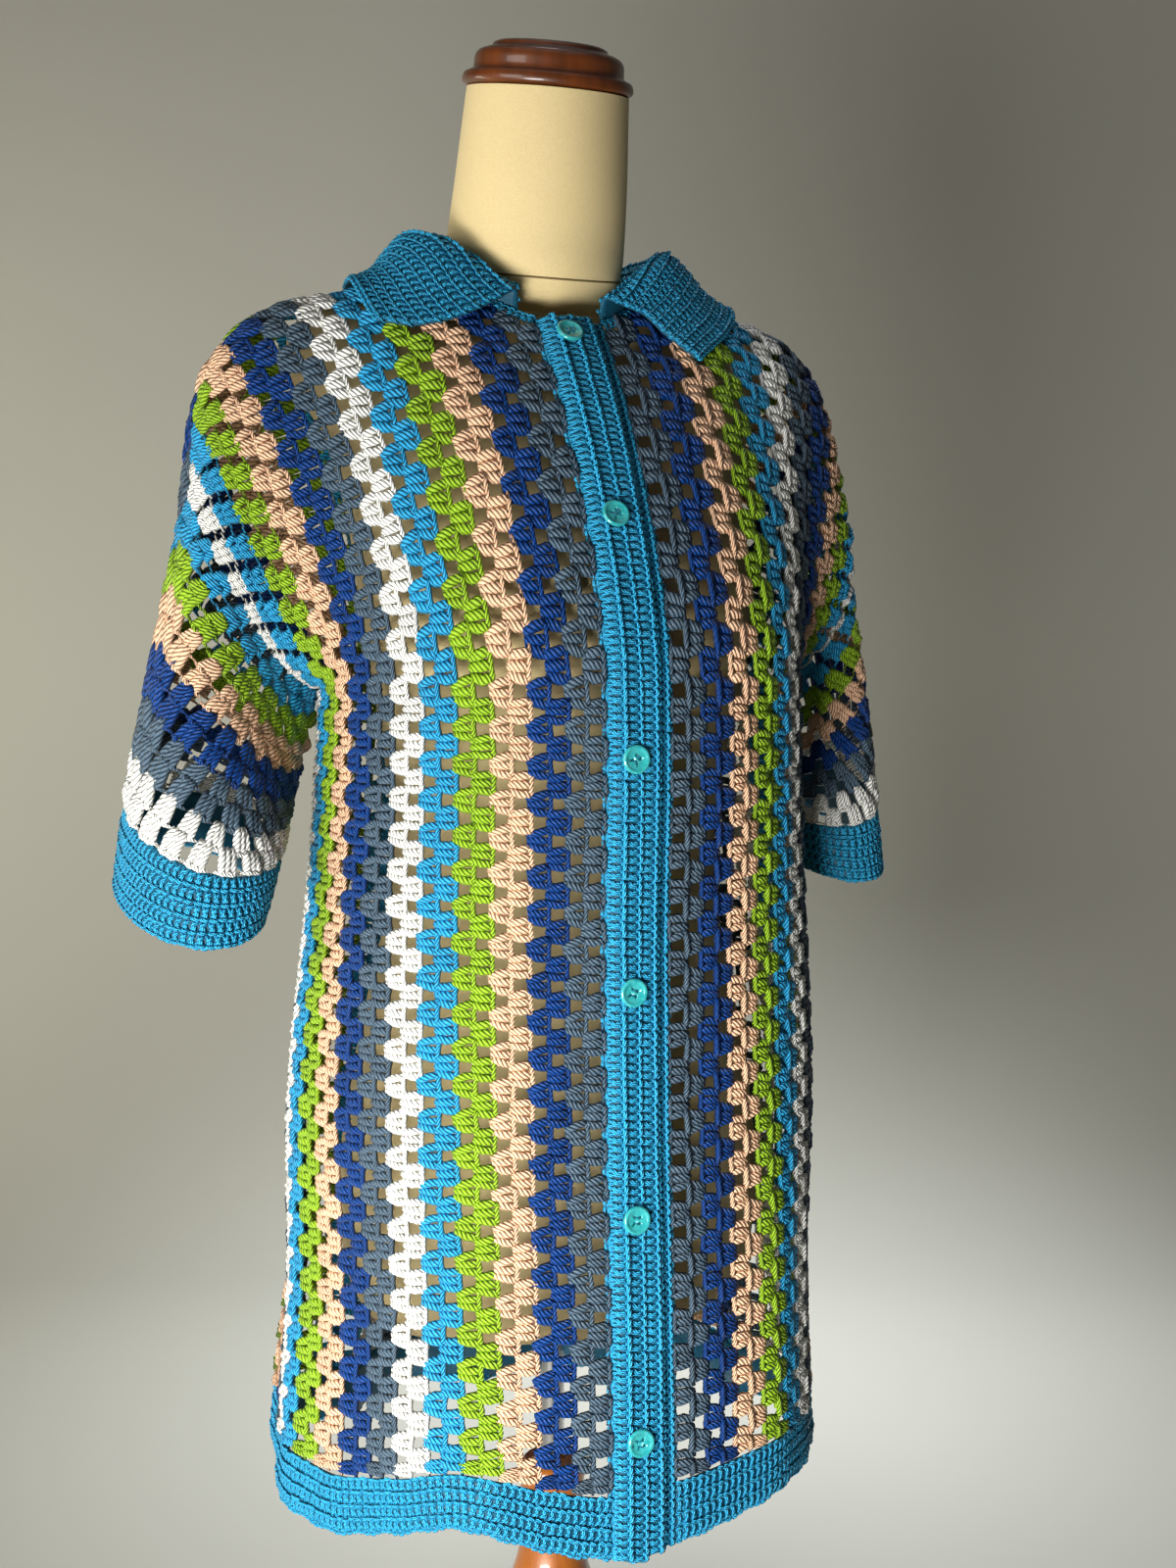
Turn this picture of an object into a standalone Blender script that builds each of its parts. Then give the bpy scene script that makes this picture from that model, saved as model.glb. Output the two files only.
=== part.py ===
"""Crochet cardigan, buttoned on a limbless dress form with a turned stand.

Metres, +Z up, the stand's underside on z = 0 and its pole on the Z axis. The front faces -Y and the
wearer's right is -X. Each piece that a maker would work or sew on is one closed solid.

The cloth hangs as half sections: `torso` gives a point of the cloth from how far round it lies, from the
buttons (0) over the side seam (1) to the middle of the back (2), and how far up, from the hem (0) to the
shoulder ridge (1). Every cloth piece is worked out from that one surface.
"""
from collections import namedtuple
from math import cos, exp, pi, radians, sin, tau

import bpy
import numpy as np

# Cloth
WALL = 0.003              # thickness of the crochet
SEAM = 0.0003             # gap between two pieces at a seam
LAYER_GAP = 0.0006        # gap between the two button bands, which lie on each other
UNDERARM_GAP = 0.0012     # gap between front and sleeve where they lie face to face under the arm
SHANK = 0.0005            # thread between a button and its band
FRONT_ARC = 0.288         # from the middle of the front to the side seam, along the cloth
UNDERARM_T = 22 / 32      # 22 of a row's 32 clusters lie below the underarm
HEM_SHARE = 0.05          # how far down the hem band goes, on the same scale
MEAN_HEM = 0.228          # height above the floor of the hem band's upper edge
UNDERARM_Z = 0.714
BAND_WIDTH = 0.034
BAND_MIDDLE = -0.005      # the upper band's middle lies a little to the wearer's right
UNDER_BAND_SHIFT = 0.009  # how far the lower band shows beside the upper one
BAND_RAMP = 0.009         # the upper band climbs on the lower one within this width
RAMP_CLEAR = 0.0005       # the lower band starts this far past the ramp

# Cloth sections, the half widths on the wearer's right and left, and where front and back lie
Section = namedtuple("Section", "z right left front back")
SECTIONS = (
    Section(0.170, 0.186, 0.184, -0.150, 0.152),
    Section(0.222, 0.182, 0.178, -0.150, 0.150),
    Section(0.330, 0.172, 0.173, -0.145, 0.146),
    Section(0.450, 0.170, 0.175, -0.137, 0.138),
    Section(0.570, 0.157, 0.167, -0.133, 0.130),
    Section(0.660, 0.150, 0.161, -0.135, 0.128),
    Section(0.714, 0.147, 0.160, -0.133, 0.128),
)
SQUARENESS = 2.35         # exponent of the sections, 2 would be an ellipse
SECTION_MIDDLE_Y = 0.012

# Where the stripes end above the hem band, round the body on the wearer's right and left
# and how tall the band is there
Hem = namedtuple("Hem", "round_at right left tall")
HEM = (
    Hem(0.00, 0.224, 0.228, 0.038),
    Hem(0.20, 0.236, 0.235, 0.036),
    Hem(0.38, 0.249, 0.240, 0.032),
    Hem(0.54, 0.240, 0.238, 0.032),
    Hem(0.70, 0.231, 0.234, 0.034),
    Hem(0.85, 0.231, 0.231, 0.034),
    Hem(1.00, 0.229, 0.228, 0.034),
    Hem(1.40, 0.227, 0.226, 0.036),
    Hem(2.00, 0.228, 0.228, 0.036),
)

# Soft folds that run down the cloth: where their middle is round the body, how wide, and how deep at the
# hem and at the top of the fold
Fold = namedtuple("Fold", "round_at width hem_depth top_depth top_z")
FOLDS = (
    Fold(0.34, 0.15, 0.004, 0.000, 0.45),
    Fold(0.62, 0.16, -0.005, 0.000, 0.50),
    Fold(0.88, 0.15, 0.005, 0.000, 0.62),
    Fold(1.12, 0.13, -0.010, -0.004, 0.70),
    Fold(1.34, 0.13, 0.013, 0.005, 0.80),
    Fold(1.56, 0.13, -0.013, -0.004, 0.84),
    Fold(1.79, 0.13, 0.013, 0.004, 0.84),
    Fold(2.00, 0.12, -0.012, -0.003, 0.84),
)

# Shoulder ridge: a straight slope from the neck, then a round drop to the sleeve seam
RIDGE_Y = 0.032
RIDGE_TOP_Z = 0.990       # where the slope would meet the middle
RIDGE_SLOPE = radians(12.5)
RIDGE_TURN = radians(86)  # and hangs on at this slope
RIDGE_LENGTH = 0.322
Ridge = namedtuple("Ridge", "straight radius")   # length of the slope, radius of the drop
RIDGE_RIGHT = Ridge(0.166, 0.082)
RIDGE_LEFT = Ridge(0.160, 0.062)

# Neckline, an ellipse seen from above, and the collar on it
NECKLINE_Y = 0.038
NECKLINE_WIDE = 0.067
NECKLINE_FRONT = 0.0605   # how far the neckline reaches to the front and to the back of its middle
NECKLINE_BACK = 0.069
STAND_HEIGHT = 0.027
LEAF_WIDTH = 0.058
COLLAR_WALL = 0.0035
RIM_CLEAR = 0.0014        # how much more the collar clears a neckline that rises as steeply as it runs

# Cuff openings: middle, half widths and how much lower the front is than the back
Cuff = namedtuple("Cuff", "x y z wide deep tilt")
CUFF_RIGHT = Cuff(0.238, 0.016, 0.586, 0.043, 0.070, 0.33)
CUFF_LEFT = Cuff(0.2165, 0.034, 0.600, 0.037, 0.066, 0.33)

# Buttons: heights above the floor
BUTTON_Z = (0.933, 0.8175, 0.6745, 0.5345, 0.397, 0.262)
BUTTON_RADIUS = 0.0088
BUTTON_THICK = 0.0032
BUTTON_DISH = 0.0009

# Dress form
Girth = namedtuple("Girth", "z wide front back square")
FORM = (
    Girth(0.306, 0.128, -0.094, 0.104, 2.15),
    Girth(0.314, 0.134, -0.100, 0.110, 2.15),
    Girth(0.360, 0.142, -0.106, 0.118, 2.15),
    Girth(0.420, 0.140, -0.106, 0.116, 2.15),
    Girth(0.500, 0.126, -0.098, 0.104, 2.15),
    Girth(0.590, 0.108, -0.088, 0.090, 2.15),
    Girth(0.660, 0.112, -0.098, 0.094, 2.15),
    Girth(0.730, 0.124, -0.112, 0.100, 2.15),
    Girth(0.775, 0.130, -0.110, 0.106, 2.15),
    Girth(0.820, 0.134, -0.082, 0.108, 2.10),
    Girth(0.870, 0.146, -0.052, 0.104, 2.00),
    Girth(0.905, 0.166, -0.028, 0.092, 1.90),
    Girth(0.930, 0.170, -0.014, 0.082, 1.60),
    Girth(0.9445, 0.162, -0.004, 0.074, 1.30),
    Girth(0.9535, 0.1530, 0.012, 0.054, 1.15),
    Girth(0.9630, 0.060, -0.008, 0.078, 1.60),
    Girth(0.9780, 0.0575, -0.017, 0.089, 1.90),
    Girth(1.0000, 0.0590, -0.020, 0.094, 2.00),
    Girth(1.0400, 0.0565, -0.029, 0.084, 2.00),
    Girth(1.0960, 0.0525, -0.037, 0.068, 2.00),
)
CAP_MIDDLE = (0.0, 0.0165, 1.0965)
CAP_TILT = radians(11.0)  # the neck leans forward, and its top with it
NECK_FROM = 0.985         # the neck's sections tip forward from here up
CAP_PROFILE = (           # radius and height above the neck's top
    (0.0520, 0.0003), (0.0552, 0.0020), (0.0557, 0.0050), (0.0546, 0.0085), (0.0505, 0.0103),
    (0.0487, 0.0115), (0.0485, 0.0190), (0.0465, 0.0222), (0.0425, 0.0243), (0.0378, 0.0253),
    (0.0368, 0.0278), (0.0340, 0.0290),
)
POLE_RADIUS = 0.0085
POLE_BOTTOM = 0.1903
BASE_PROFILE = (          # radius and height of the turned foot, from the floor up
    (0.140, 0.000), (0.143, 0.004), (0.143, 0.014), (0.139, 0.018), (0.128, 0.021), (0.122, 0.026),
    (0.100, 0.034), (0.072, 0.045), (0.051, 0.062), (0.038, 0.080), (0.0305, 0.098), (0.0265, 0.111),
    (0.0225, 0.124), (0.0212, 0.140), (0.0212, 0.172), (0.0224, 0.176), (0.0228, 0.181),
    (0.0218, 0.187), (0.0180, 0.190),
)

TURQUOISE = (0.025, 0.33, 0.62)
GRANNY = (0.16, 0.30, 0.42)
LINEN = (0.80, 0.72, 0.47)
WOOD = (0.22, 0.06, 0.012)
STAND_WOOD = (0.42, 0.14, 0.02)
CHROME = (0.75, 0.75, 0.75)
BUTTON_BLUE = (0.05, 0.46, 0.46)


# Curves and tables

def ease(x, low=0.0, high=1.0):
    """0 below low and 1 above high, with a smooth step between."""
    x = np.clip((x - low) / (high - low), 0.0, 1.0)
    return x * x * (3 - 2 * x)


def read_table(table, key, at):
    """The row of a table at a height between its rows, each column on a smooth curve."""
    keys = [getattr(row, key) for row in table]
    last = len(keys) - 2
    i = int(np.clip(np.searchsorted(keys, at) - 1, 0, last))
    step = keys[i + 1] - keys[i]
    f = np.clip((at - keys[i]) / step, 0.0, 1.0)
    values = [np.array(row) for row in table]
    before = values[i - 1] if i > 0 else 2 * values[i] - values[i + 1]
    after = values[i + 2] if i < last else 2 * values[i + 1] - values[i]
    before_key = keys[i - 1] if i > 0 else keys[i] - step
    after_key = keys[i + 2] if i < last else keys[i + 1] + step
    slope_in = (values[i + 1] - before) / (keys[i + 1] - before_key) * step
    slope_out = (after - values[i]) / (after_key - keys[i]) * step
    a = 2 * values[i] - 2 * values[i + 1] + slope_in + slope_out
    b = -3 * values[i] + 3 * values[i + 1] - 2 * slope_in - slope_out
    return type(table[0])(*(((a * f + b) * f + slope_in) * f + values[i]))


def along(points, distance):
    """The point of a dense polyline at a distance from its start, and past its ends in a straight line."""
    steps = np.linalg.norm(np.diff(points, axis=0), axis=1)
    lengths = np.concatenate(([0.0], np.cumsum(steps)))
    i = int(np.clip(np.searchsorted(lengths, distance) - 1, 0, len(steps) - 1))
    return points[i] + (points[i + 1] - points[i]) * (distance - lengths[i]) / steps[i]


def path_length(points):
    return float(np.linalg.norm(np.diff(points, axis=0), axis=1).sum())


# The hanging cloth

_sections = {}


def half_section(side, z):
    """Half of a level section of the cloth as a dense polyline, from the front's middle to the back's."""
    key = (side, round(float(z), 6))
    if key not in _sections:
        row = read_table(SECTIONS, "z", z)
        wide = row.left if side > 0 else row.right
        turn = np.linspace(0.0, pi, 181)
        deep = np.where(turn < pi / 2, SECTION_MIDDLE_Y - row.front, row.back - SECTION_MIDDLE_Y)
        power = 2 / SQUARENESS
        x = side * wide * np.abs(np.sin(turn)) ** power
        y = SECTION_MIDDLE_Y - deep * np.sign(np.cos(turn)) * np.abs(np.cos(turn)) ** power
        _sections[key] = np.stack((x, y, np.full_like(x, z)), axis=1)
    return _sections[key]


def level_point(side, round_at, z):
    """A point of the cloth below the underarm, without its folds."""
    points = half_section(side, z)
    if round_at <= 1:
        return along(points, round_at * FRONT_ARC)
    rest = path_length(points) - FRONT_ARC
    return along(points, FRONT_ARC + (round_at - 1) * rest)


def ridge_point(side, round_at):
    """A point of the shoulder ridge, where front and back meet."""
    distance = (round_at if round_at <= 1 else 2 - round_at) * RIDGE_LENGTH
    ridge = RIDGE_LEFT if side > 0 else RIDGE_RIGHT
    run = min(distance, ridge.straight)
    x = run * cos(RIDGE_SLOPE)
    z = RIDGE_TOP_Z - run * sin(RIDGE_SLOPE)
    turned_by = min(RIDGE_SLOPE + max(distance - ridge.straight, 0.0) / ridge.radius, RIDGE_TURN)
    hanging = max(distance - ridge.straight - (RIDGE_TURN - RIDGE_SLOPE) * ridge.radius, 0.0)
    x += ridge.radius * (sin(turned_by) - sin(RIDGE_SLOPE)) + hanging * cos(RIDGE_TURN)
    z -= ridge.radius * (cos(RIDGE_SLOPE) - cos(turned_by)) + hanging * sin(RIDGE_TURN)
    return np.array((side * x, RIDGE_Y, z))


def upper_path(side, round_at):
    """The run of a row from the underarm's height to the shoulder ridge, as a dense polyline."""
    start = level_point(side, round_at, UNDERARM_Z)
    end = ridge_point(side, round_at)
    front = round_at <= 1
    to_arm = ease(round_at if front else 2 - round_at, 0.55, 1.0)
    forward = -1 if front else 1
    middle = 1 - ease(round_at if front else 2 - round_at, 0.0, 0.5)
    rise = np.array((0.0, 0.0, 0.075 if front else 0.095 + 0.060 * middle))
    round_the_arm = np.array((side * 0.055, forward * 0.062, 0.0))
    leave = start + rise * (1 - to_arm) + round_the_arm * to_arm
    reach = 0.050 + 0.022 * middle if front else 0.062 + 0.075 * middle
    drop = np.array((side * 0.010, forward * 0.078, -0.020))
    arrive = end + np.array((0.0, forward * reach, 0.0)) * (1 - to_arm) + drop * to_arm
    if front:
        arrive[2] -= 0.031 * (1 - ease(round_at, 0.05, 0.30))
    f = np.linspace(0.0, 1.0, 41)[:, None]
    return ((1 - f) ** 3 * start + 3 * (1 - f) ** 2 * f * leave + 3 * (1 - f) * f * f * arrive + f ** 3 * end)


_paths = {}


def torso(side, round_at, up):
    """A point of the cloth's middle surface: round_at 0 to 2 as above, up 0 at the hem to 1 at the ridge."""
    if up <= UNDERARM_T:
        row = read_table(HEM, "round_at", round_at)
        hem = row.left if side > 0 else row.right
        z = hem + (UNDERARM_Z - hem) * up / UNDERARM_T if up > 0 else hem + row.tall * up / HEM_SHARE
        return level_point(side, round_at, z)
    key = (side, round(float(round_at), 6))
    if key not in _paths:
        _paths[key] = upper_path(side, round_at)
    points = _paths[key]
    return along(points, path_length(points) * (up - UNDERARM_T) / (1 - UNDERARM_T))


def normal_of(surface, a, b, step=1e-3):
    """The unit normal of a surface at (a, b): the a direction cross the b direction."""
    across = surface(a + step, b) - surface(a - step, b)
    upward = surface(a, b + step) - surface(a, b - step)
    n = np.cross(across, upward)
    return n / np.linalg.norm(n)


def outward(side, round_at, up):
    """The cloth's normal, pointing away from the wearer. The underarm's corner is smoothed over."""
    n = normal_of(lambda a, b: torso(side, a, b), round_at, up, 2e-3)
    return n * side


def fold_depth(side, round_at, z):
    """How far the soft folds move the cloth out at a height."""
    depth = 0.0
    for fold in FOLDS:
        for shift in (0.0, 2 * (2 - fold.round_at)):
            near = (round_at - fold.round_at - shift) / fold.width
            fade = 1 - ease(z, MEAN_HEM, fold.top_z + 0.08)
            down = fold.top_depth + (fold.hem_depth - fold.top_depth) * fade
            above = 1 - ease(z, fold.top_z, fold.top_z + 0.12)
            depth += down * above * np.exp(-near * near * 4)
            if fold.round_at == 2.0:
                break
    return depth


def ridge_normal(side, round_at):
    """The way out on the shoulder seam, which front and back share."""
    run = ridge_point(side, round_at + 1e-3) - ridge_point(side, round_at - 1e-3)
    if round_at > 1:
        run = -run
    n = np.array((-run[2], 0.0, run[0])) * side
    return n / np.linalg.norm(n)


ArmSeam = namedtuple("ArmSeam", "point panel_out sleeve_out")
_arm_seams = {}


def armhole(side, turn):
    """The armhole's edge: turn 0 under the arm, 1/2 on the ridge, going round by the front."""
    share = 1 - abs(1 - 2 * (turn % 1.0))
    return torso(side, 1.0 if turn % 1.0 <= 0.5 else 1.0 + 1e-6, UNDERARM_T + (1 - UNDERARM_T) * share)


def sleeve_leaves(side, turn):
    """The way in which the sleeve leaves the armhole."""
    outer = (1 - cos(tau * turn)) / 2
    inner_slope = 0.060 if side > 0 else 0.045
    return np.array((side * (inner_slope * (1 - outer) + 0.030 * outer), 0.0, -0.16))


def arm_seam(side, turn):
    """Where the sleeve starts, and the way out of the panel's and the sleeve's wall there.

    Where the two run on into each other they share it. Under the arm they lie face to face, each with its
    own, and the sleeve starts a wall further out.
    """
    turn = round(float(turn % 1.0), 6)
    if (side, turn) in _arm_seams:
        return _arm_seams[side, turn]
    share = 1 - abs(1 - 2 * turn)
    up = UNDERARM_T + (1 - UNDERARM_T) * max(share, 0.03)
    own = 0.5 + 0.5 * ease(min(share, 1 - share), 0.0, 0.12)
    near, far = (0.96, 1.04) if turn <= 0.5 else (1.04, 0.96)
    panel = outward(side, near, up) * own + outward(side, far, up) * (1 - own)
    panel /= np.linalg.norm(panel)
    below = ease(share, 0.0, 0.12)
    panel = panel * below + outward(side, 1.0, UNDERARM_T - 0.02) * (1 - below)
    panel /= np.linalg.norm(panel)
    leave = sleeve_leaves(side, turn)
    leave /= np.linalg.norm(leave)
    sleeve = np.cross(leave, armhole(side, turn + 0.02) - armhole(side, turn - 0.02)) * side
    sleeve /= np.linalg.norm(sleeve)
    runs_on = ease(panel @ sleeve, -0.3, 0.4)
    both = (panel + sleeve) / (np.linalg.norm(panel + sleeve) + 1e-6)
    outs = [n * (1 - runs_on) + both * runs_on for n in (panel, sleeve)]
    outs = [n / np.linalg.norm(n) for n in outs]
    step = panel * (WALL + UNDERARM_GAP) * (1 - runs_on) + leave * 2 * SEAM * runs_on
    _arm_seams[side, turn] = ArmSeam(armhole(side, turn) + step, outs[0], outs[1])
    return _arm_seams[side, turn]


def shared_normal(side, round_at, up):
    """The cloth's way out, which turns into the neighbour's at the shoulder and sleeve seams."""
    n = outward(side, round_at, up)
    to_ridge = ease(up, 0.97, 0.998)
    n = n * (1 - to_ridge) + ridge_normal(side, round_at) * to_ridge if to_ridge > 0 else n
    to_arm = ease(1 - abs(round_at - 1), 0.95, 0.998) if up > UNDERARM_T else 0.0
    if to_arm > 0:
        share = (up - UNDERARM_T) / (1 - UNDERARM_T)
        n = n * (1 - to_arm) + arm_seam(side, share / 2 if round_at <= 1 else 1 - share / 2).panel_out * to_arm
    return n / np.linalg.norm(n)


def cloth(side, round_at, up, out=0.0):
    """A point of the cloth with its folds, moved out by a distance."""
    point = torso(side, round_at, up)
    n = shared_normal(side, round_at, up)
    return point + n * (fold_depth(side, round_at, point[2]) + out)


# Solids

def material(name, colour, rough=0.8, metal=0.0):
    made = bpy.data.materials.get(name) or bpy.data.materials.new(name)
    made.use_nodes = True
    shader = made.node_tree.nodes["Principled BSDF"]
    shader.inputs["Base Color"].default_value = (*colour, 1.0)
    shader.inputs["Roughness"].default_value = rough
    shader.inputs["Metallic"].default_value = metal
    made.diffuse_color = (*colour, 1.0)
    return made


def add_object(name, points, faces, look):
    mesh = bpy.data.meshes.new(name)
    mesh.from_pydata([tuple(map(float, p)) for p in points], [], faces)
    mesh.validate()
    mesh.materials.append(look)
    mesh.shade_smooth()
    mesh.set_sharp_from_angle(angle=radians(40))
    made = bpy.data.objects.new(name, mesh)
    bpy.context.collection.objects.link(made)
    return made


def wall(name, outer, inner, look, closed=False):
    """A solid between two grids of points, rows by columns. A closed wall joins its last column to its first.

    Seen from outside, columns run to the right and rows run up.
    """
    rows, columns = outer.shape[:2]
    points = list(outer.reshape(-1, 3)) + list(inner.reshape(-1, 3))
    shift = rows * columns
    faces = []

    def at(row, column, layer):
        return layer * shift + row * columns + column % columns

    spans = columns if closed else columns - 1
    for row in range(rows - 1):
        for column in range(spans):
            above = row + 1
            quad = (at(row, column, 0), at(row, column + 1, 0), at(above, column + 1, 0), at(above, column, 0))
            faces.append(quad)
            faces.append(tuple(shift + i for i in reversed(quad)))
    for column in range(spans):
        faces.append((at(0, column, 1), at(0, column + 1, 1), at(0, column + 1, 0), at(0, column, 0)))
        top = rows - 1
        faces.append((at(top, column, 0), at(top, column + 1, 0), at(top, column + 1, 1), at(top, column, 1)))
    if not closed:
        right = columns - 1
        for row in range(rows - 1):
            faces.append((at(row, 0, 1), at(row, 0, 0), at(row + 1, 0, 0), at(row + 1, 0, 1)))
            faces.append((at(row, right, 0), at(row, right, 1), at(row + 1, right, 1), at(row + 1, right, 0)))
    return add_object(name, points, faces, look)


# Panels

def neckline_deep(round_at):
    return NECKLINE_FRONT if round_at <= 1 else NECKLINE_BACK


def inside_neckline(point, deep):
    return ((point[0] / NECKLINE_WIDE) ** 2 + ((point[1] - NECKLINE_Y) / deep) ** 2) < 1


def row_top(side, round_at):
    """How far up a row reaches: the neckline, or the shoulder seam."""
    deep = neckline_deep(round_at)
    seam = 1 - SEAM / path_length(upper_path(side, round_at)) * (1 - UNDERARM_T)
    if not inside_neckline(torso(side, round_at, seam), deep):
        return seam
    low, high = UNDERARM_T, seam
    for _ in range(30):
        middle = (low + high) / 2
        if inside_neckline(torso(side, round_at, middle), deep):
            high = middle
        else:
            low = middle
    return low


def up_to(top, share):
    """Share 0 to 1 of a row's height, squeezed above the underarm so that it ends at the row's top."""
    if share <= UNDERARM_T:
        return share
    return UNDERARM_T + (share - UNDERARM_T) * (top - UNDERARM_T) / (1 - UNDERARM_T)


LOWER_ROWS = np.linspace(0.0, UNDERARM_T, 12)
UPPER_ROWS = np.linspace(UNDERARM_T, 1.0, 11)[1:]
SHARES = np.concatenate((LOWER_ROWS, UPPER_ROWS))
NECK_ROUND_AT = NECKLINE_WIDE / cos(RIDGE_SLOPE) / RIDGE_LENGTH
NECK_COLUMNS = tuple(NECK_ROUND_AT * f for f in (0.35, 0.56, 0.74, 0.89, 1.0))
FRONT_COLUMNS = NECK_COLUMNS + (0.30, 0.40, 0.50, 0.60, 0.70, 0.80, 0.90)
NECK_BACK_COLUMNS = tuple(2 - NECK_ROUND_AT * f for f in (0.89, 0.74, 0.56, 0.30, 0.0))
BACK_COLUMNS = tuple(np.linspace(1.0, 2 - NECK_ROUND_AT, 10)[1:]) + NECK_BACK_COLUMNS


def panel_pair(side, columns, first, last):
    """Outer and inner grids of a panel that spans rows from column first to column last."""
    spread = [first, *[c for c in columns if first + 0.01 < c < last - 0.02], last]
    tops = [row_top(side, c) for c in spread]

    def surface(out):
        return np.array([[cloth(side, c, up_to(top, share), out) for c, top in zip(spread, tops)]
                         for share in SHARES])

    outer, inner = surface(WALL / 2), surface(-WALL / 2)
    if side < 0:
        outer, inner = outer[:, ::-1], inner[:, ::-1]
    return outer, inner


def make_front(name, side, band_edge):
    first = band_edge / FRONT_ARC
    last = 1 - SEAM / 2 / FRONT_ARC
    outer, inner = panel_pair(side, FRONT_COLUMNS, first, last)
    return wall(name, outer, inner, material("granny crochet", GRANNY))


def make_back():
    first = 1 + SEAM / 2 / 0.20
    left = panel_pair(1, BACK_COLUMNS, first, 2.0)
    right = panel_pair(-1, BACK_COLUMNS, first, 2.0)
    outer, inner = (np.concatenate((a, b[:, 1:]), axis=1) for a, b in zip(left, right))
    return wall("back", outer, inner, material("granny crochet", GRANNY))


def cuff_point(side, turn):
    """The rim of a cuff, turned as the sleeve seam is."""
    angle = tau * turn
    cuff = CUFF_LEFT if side > 0 else CUFF_RIGHT
    down = cuff.deep * sin(angle)
    return np.array((side * (cuff.x - cuff.wide * cos(angle)), cuff.y - down, cuff.z - cuff.tilt * down))


def sleeve_point(side, turn, down):
    """The sleeve's middle surface: down 0 at the seam and 1 at the cuff's rim."""
    start = arm_seam(side, turn).point
    end = cuff_point(side, turn)
    outer = (1 - cos(tau * turn)) / 2
    leave = sleeve_leaves(side, turn)
    arrive = np.array((side * (0.060 * (1 - outer) + 0.012 * outer), 0.0, -0.15))
    f = down
    return ((2 * f ** 3 - 3 * f ** 2 + 1) * start + (f ** 3 - 2 * f ** 2 + f) * leave
            + (3 * f ** 2 - 2 * f ** 3) * end + (f ** 3 - f ** 2) * arrive)


SLEEVE_TURNS = 20         # two for each of the panels' rows above the underarm
CUFF_SHARE = 0.24         # of the sleeve's length
CUFF_GAP = 0.0030         # half the seam between sleeve and cuff, on the same scale


def sleeve_grid(side, rows, out):
    turns = np.arange(SLEEVE_TURNS) / SLEEVE_TURNS
    made = []
    for down in rows:
        line = []
        for turn in turns:
            at = 1 - CUFF_SHARE if abs(down - 1 + CUFF_SHARE) < 0.01 else max(down, 2e-3)
            n = normal_of(lambda a, b: sleeve_point(side, a, b), turn, at, 2e-3) * -side
            n = arm_seam(side, turn).sleeve_out if down == 0 else n
            line.append(sleeve_point(side, turn, down) + n * out)
        made.append(line)
    return np.array(made)


def make_sleeve(name, side):
    rows = np.linspace(0.0, 1 - CUFF_SHARE - CUFF_GAP, 9)
    outer, inner = sleeve_grid(side, rows, WALL / 2), sleeve_grid(side, rows, -WALL / 2)
    if side > 0:
        outer, inner = outer[::-1], inner[::-1]
    return wall(name, outer, inner, material("granny crochet", GRANNY), closed=True)


def make_cuff(name, side):
    rows = np.linspace(1 - CUFF_SHARE + CUFF_GAP, 1.0, 4)
    outer, inner = sleeve_grid(side, rows, WALL / 2), sleeve_grid(side, rows, -WALL / 2)
    if side > 0:
        outer, inner = outer[::-1], inner[::-1]
    return wall(name, outer, inner, material("plain crochet", TURQUOISE), closed=True)


def band_point(across, up, out=0.0):
    """A point of the front near its middle: across in metres, to the wearer's left."""
    side = 1 if across >= 0 else -1
    return cloth(side, abs(across) / FRONT_ARC, up, out)


def band_top(across):
    return row_top(1 if across >= 0 else -1, abs(across) / FRONT_ARC)


BAND_ROWS = np.concatenate((np.linspace(-HEM_SHARE, UNDERARM_T, 14), UPPER_ROWS))
UPPER_BAND = (BAND_MIDDLE - BAND_WIDTH / 2, BAND_MIDDLE + BAND_WIDTH / 2)
UNDER_BAND = (UPPER_BAND[0] + BAND_RAMP + RAMP_CLEAR, UPPER_BAND[1] + UNDER_BAND_SHIFT)


def make_band(name, columns, lift):
    """A button band, lifted off the surface of the fronts by a distance for each column."""
    def surface(out):
        return np.array([[band_point(a, up_to(band_top(a), share), lift(a) + out) for a in columns]
                         for share in BAND_ROWS])
    return wall(name, surface(WALL / 2), surface(-WALL / 2), material("plain crochet", TURQUOISE))


def upper_lift(across):
    """The upper band leaves its own front at its seam and lies on the lower band."""
    return (WALL + LAYER_GAP) * ease(across, UPPER_BAND[0], UPPER_BAND[0] + BAND_RAMP)


def make_bands():
    low, high = UPPER_BAND
    columns = (low, low + BAND_RAMP / 2, low + BAND_RAMP, BAND_MIDDLE, high - BAND_WIDTH / 4, high)
    make_band("band_right", columns, upper_lift)
    low, high = UNDER_BAND
    make_band("band_left", (low, BAND_MIDDLE, high - BAND_WIDTH / 3, high), lambda across: 0.0)


def make_hem_band():
    """One band all round, from the edge of one front to the edge of the other."""
    rows = np.linspace(-HEM_SHARE, -1.5 * SEAM, 3)
    left = [c for c in FRONT_COLUMNS if c > 0.15]
    left_edge = (UNDER_BAND[1] + SEAM) / FRONT_ARC
    right_edge = (SEAM - UPPER_BAND[0]) / FRONT_ARC
    back = list(np.linspace(1.0, 2.0, 12))
    run = [(1, c) for c in [left_edge, *left, *back]]
    run += [(-1, c) for c in [*back[-2::-1], *reversed(left), right_edge]]
    outer, inner = (np.array([[cloth(side, c, up, out) for side, c in run] for up in rows])
                    for out in (WALL / 2, -WALL / 2))
    return wall("hem_band", outer, inner, material("plain crochet", TURQUOISE))


# Collar

def neckline_at(angle):
    """A point of the neckline, and its height: angle 0 at the front, to pi at the back, for one side."""
    x = NECKLINE_WIDE * sin(angle)
    y = NECKLINE_Y - (NECKLINE_FRONT if cos(angle) > 0 else NECKLINE_BACK) * cos(angle)
    return x, y


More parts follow.
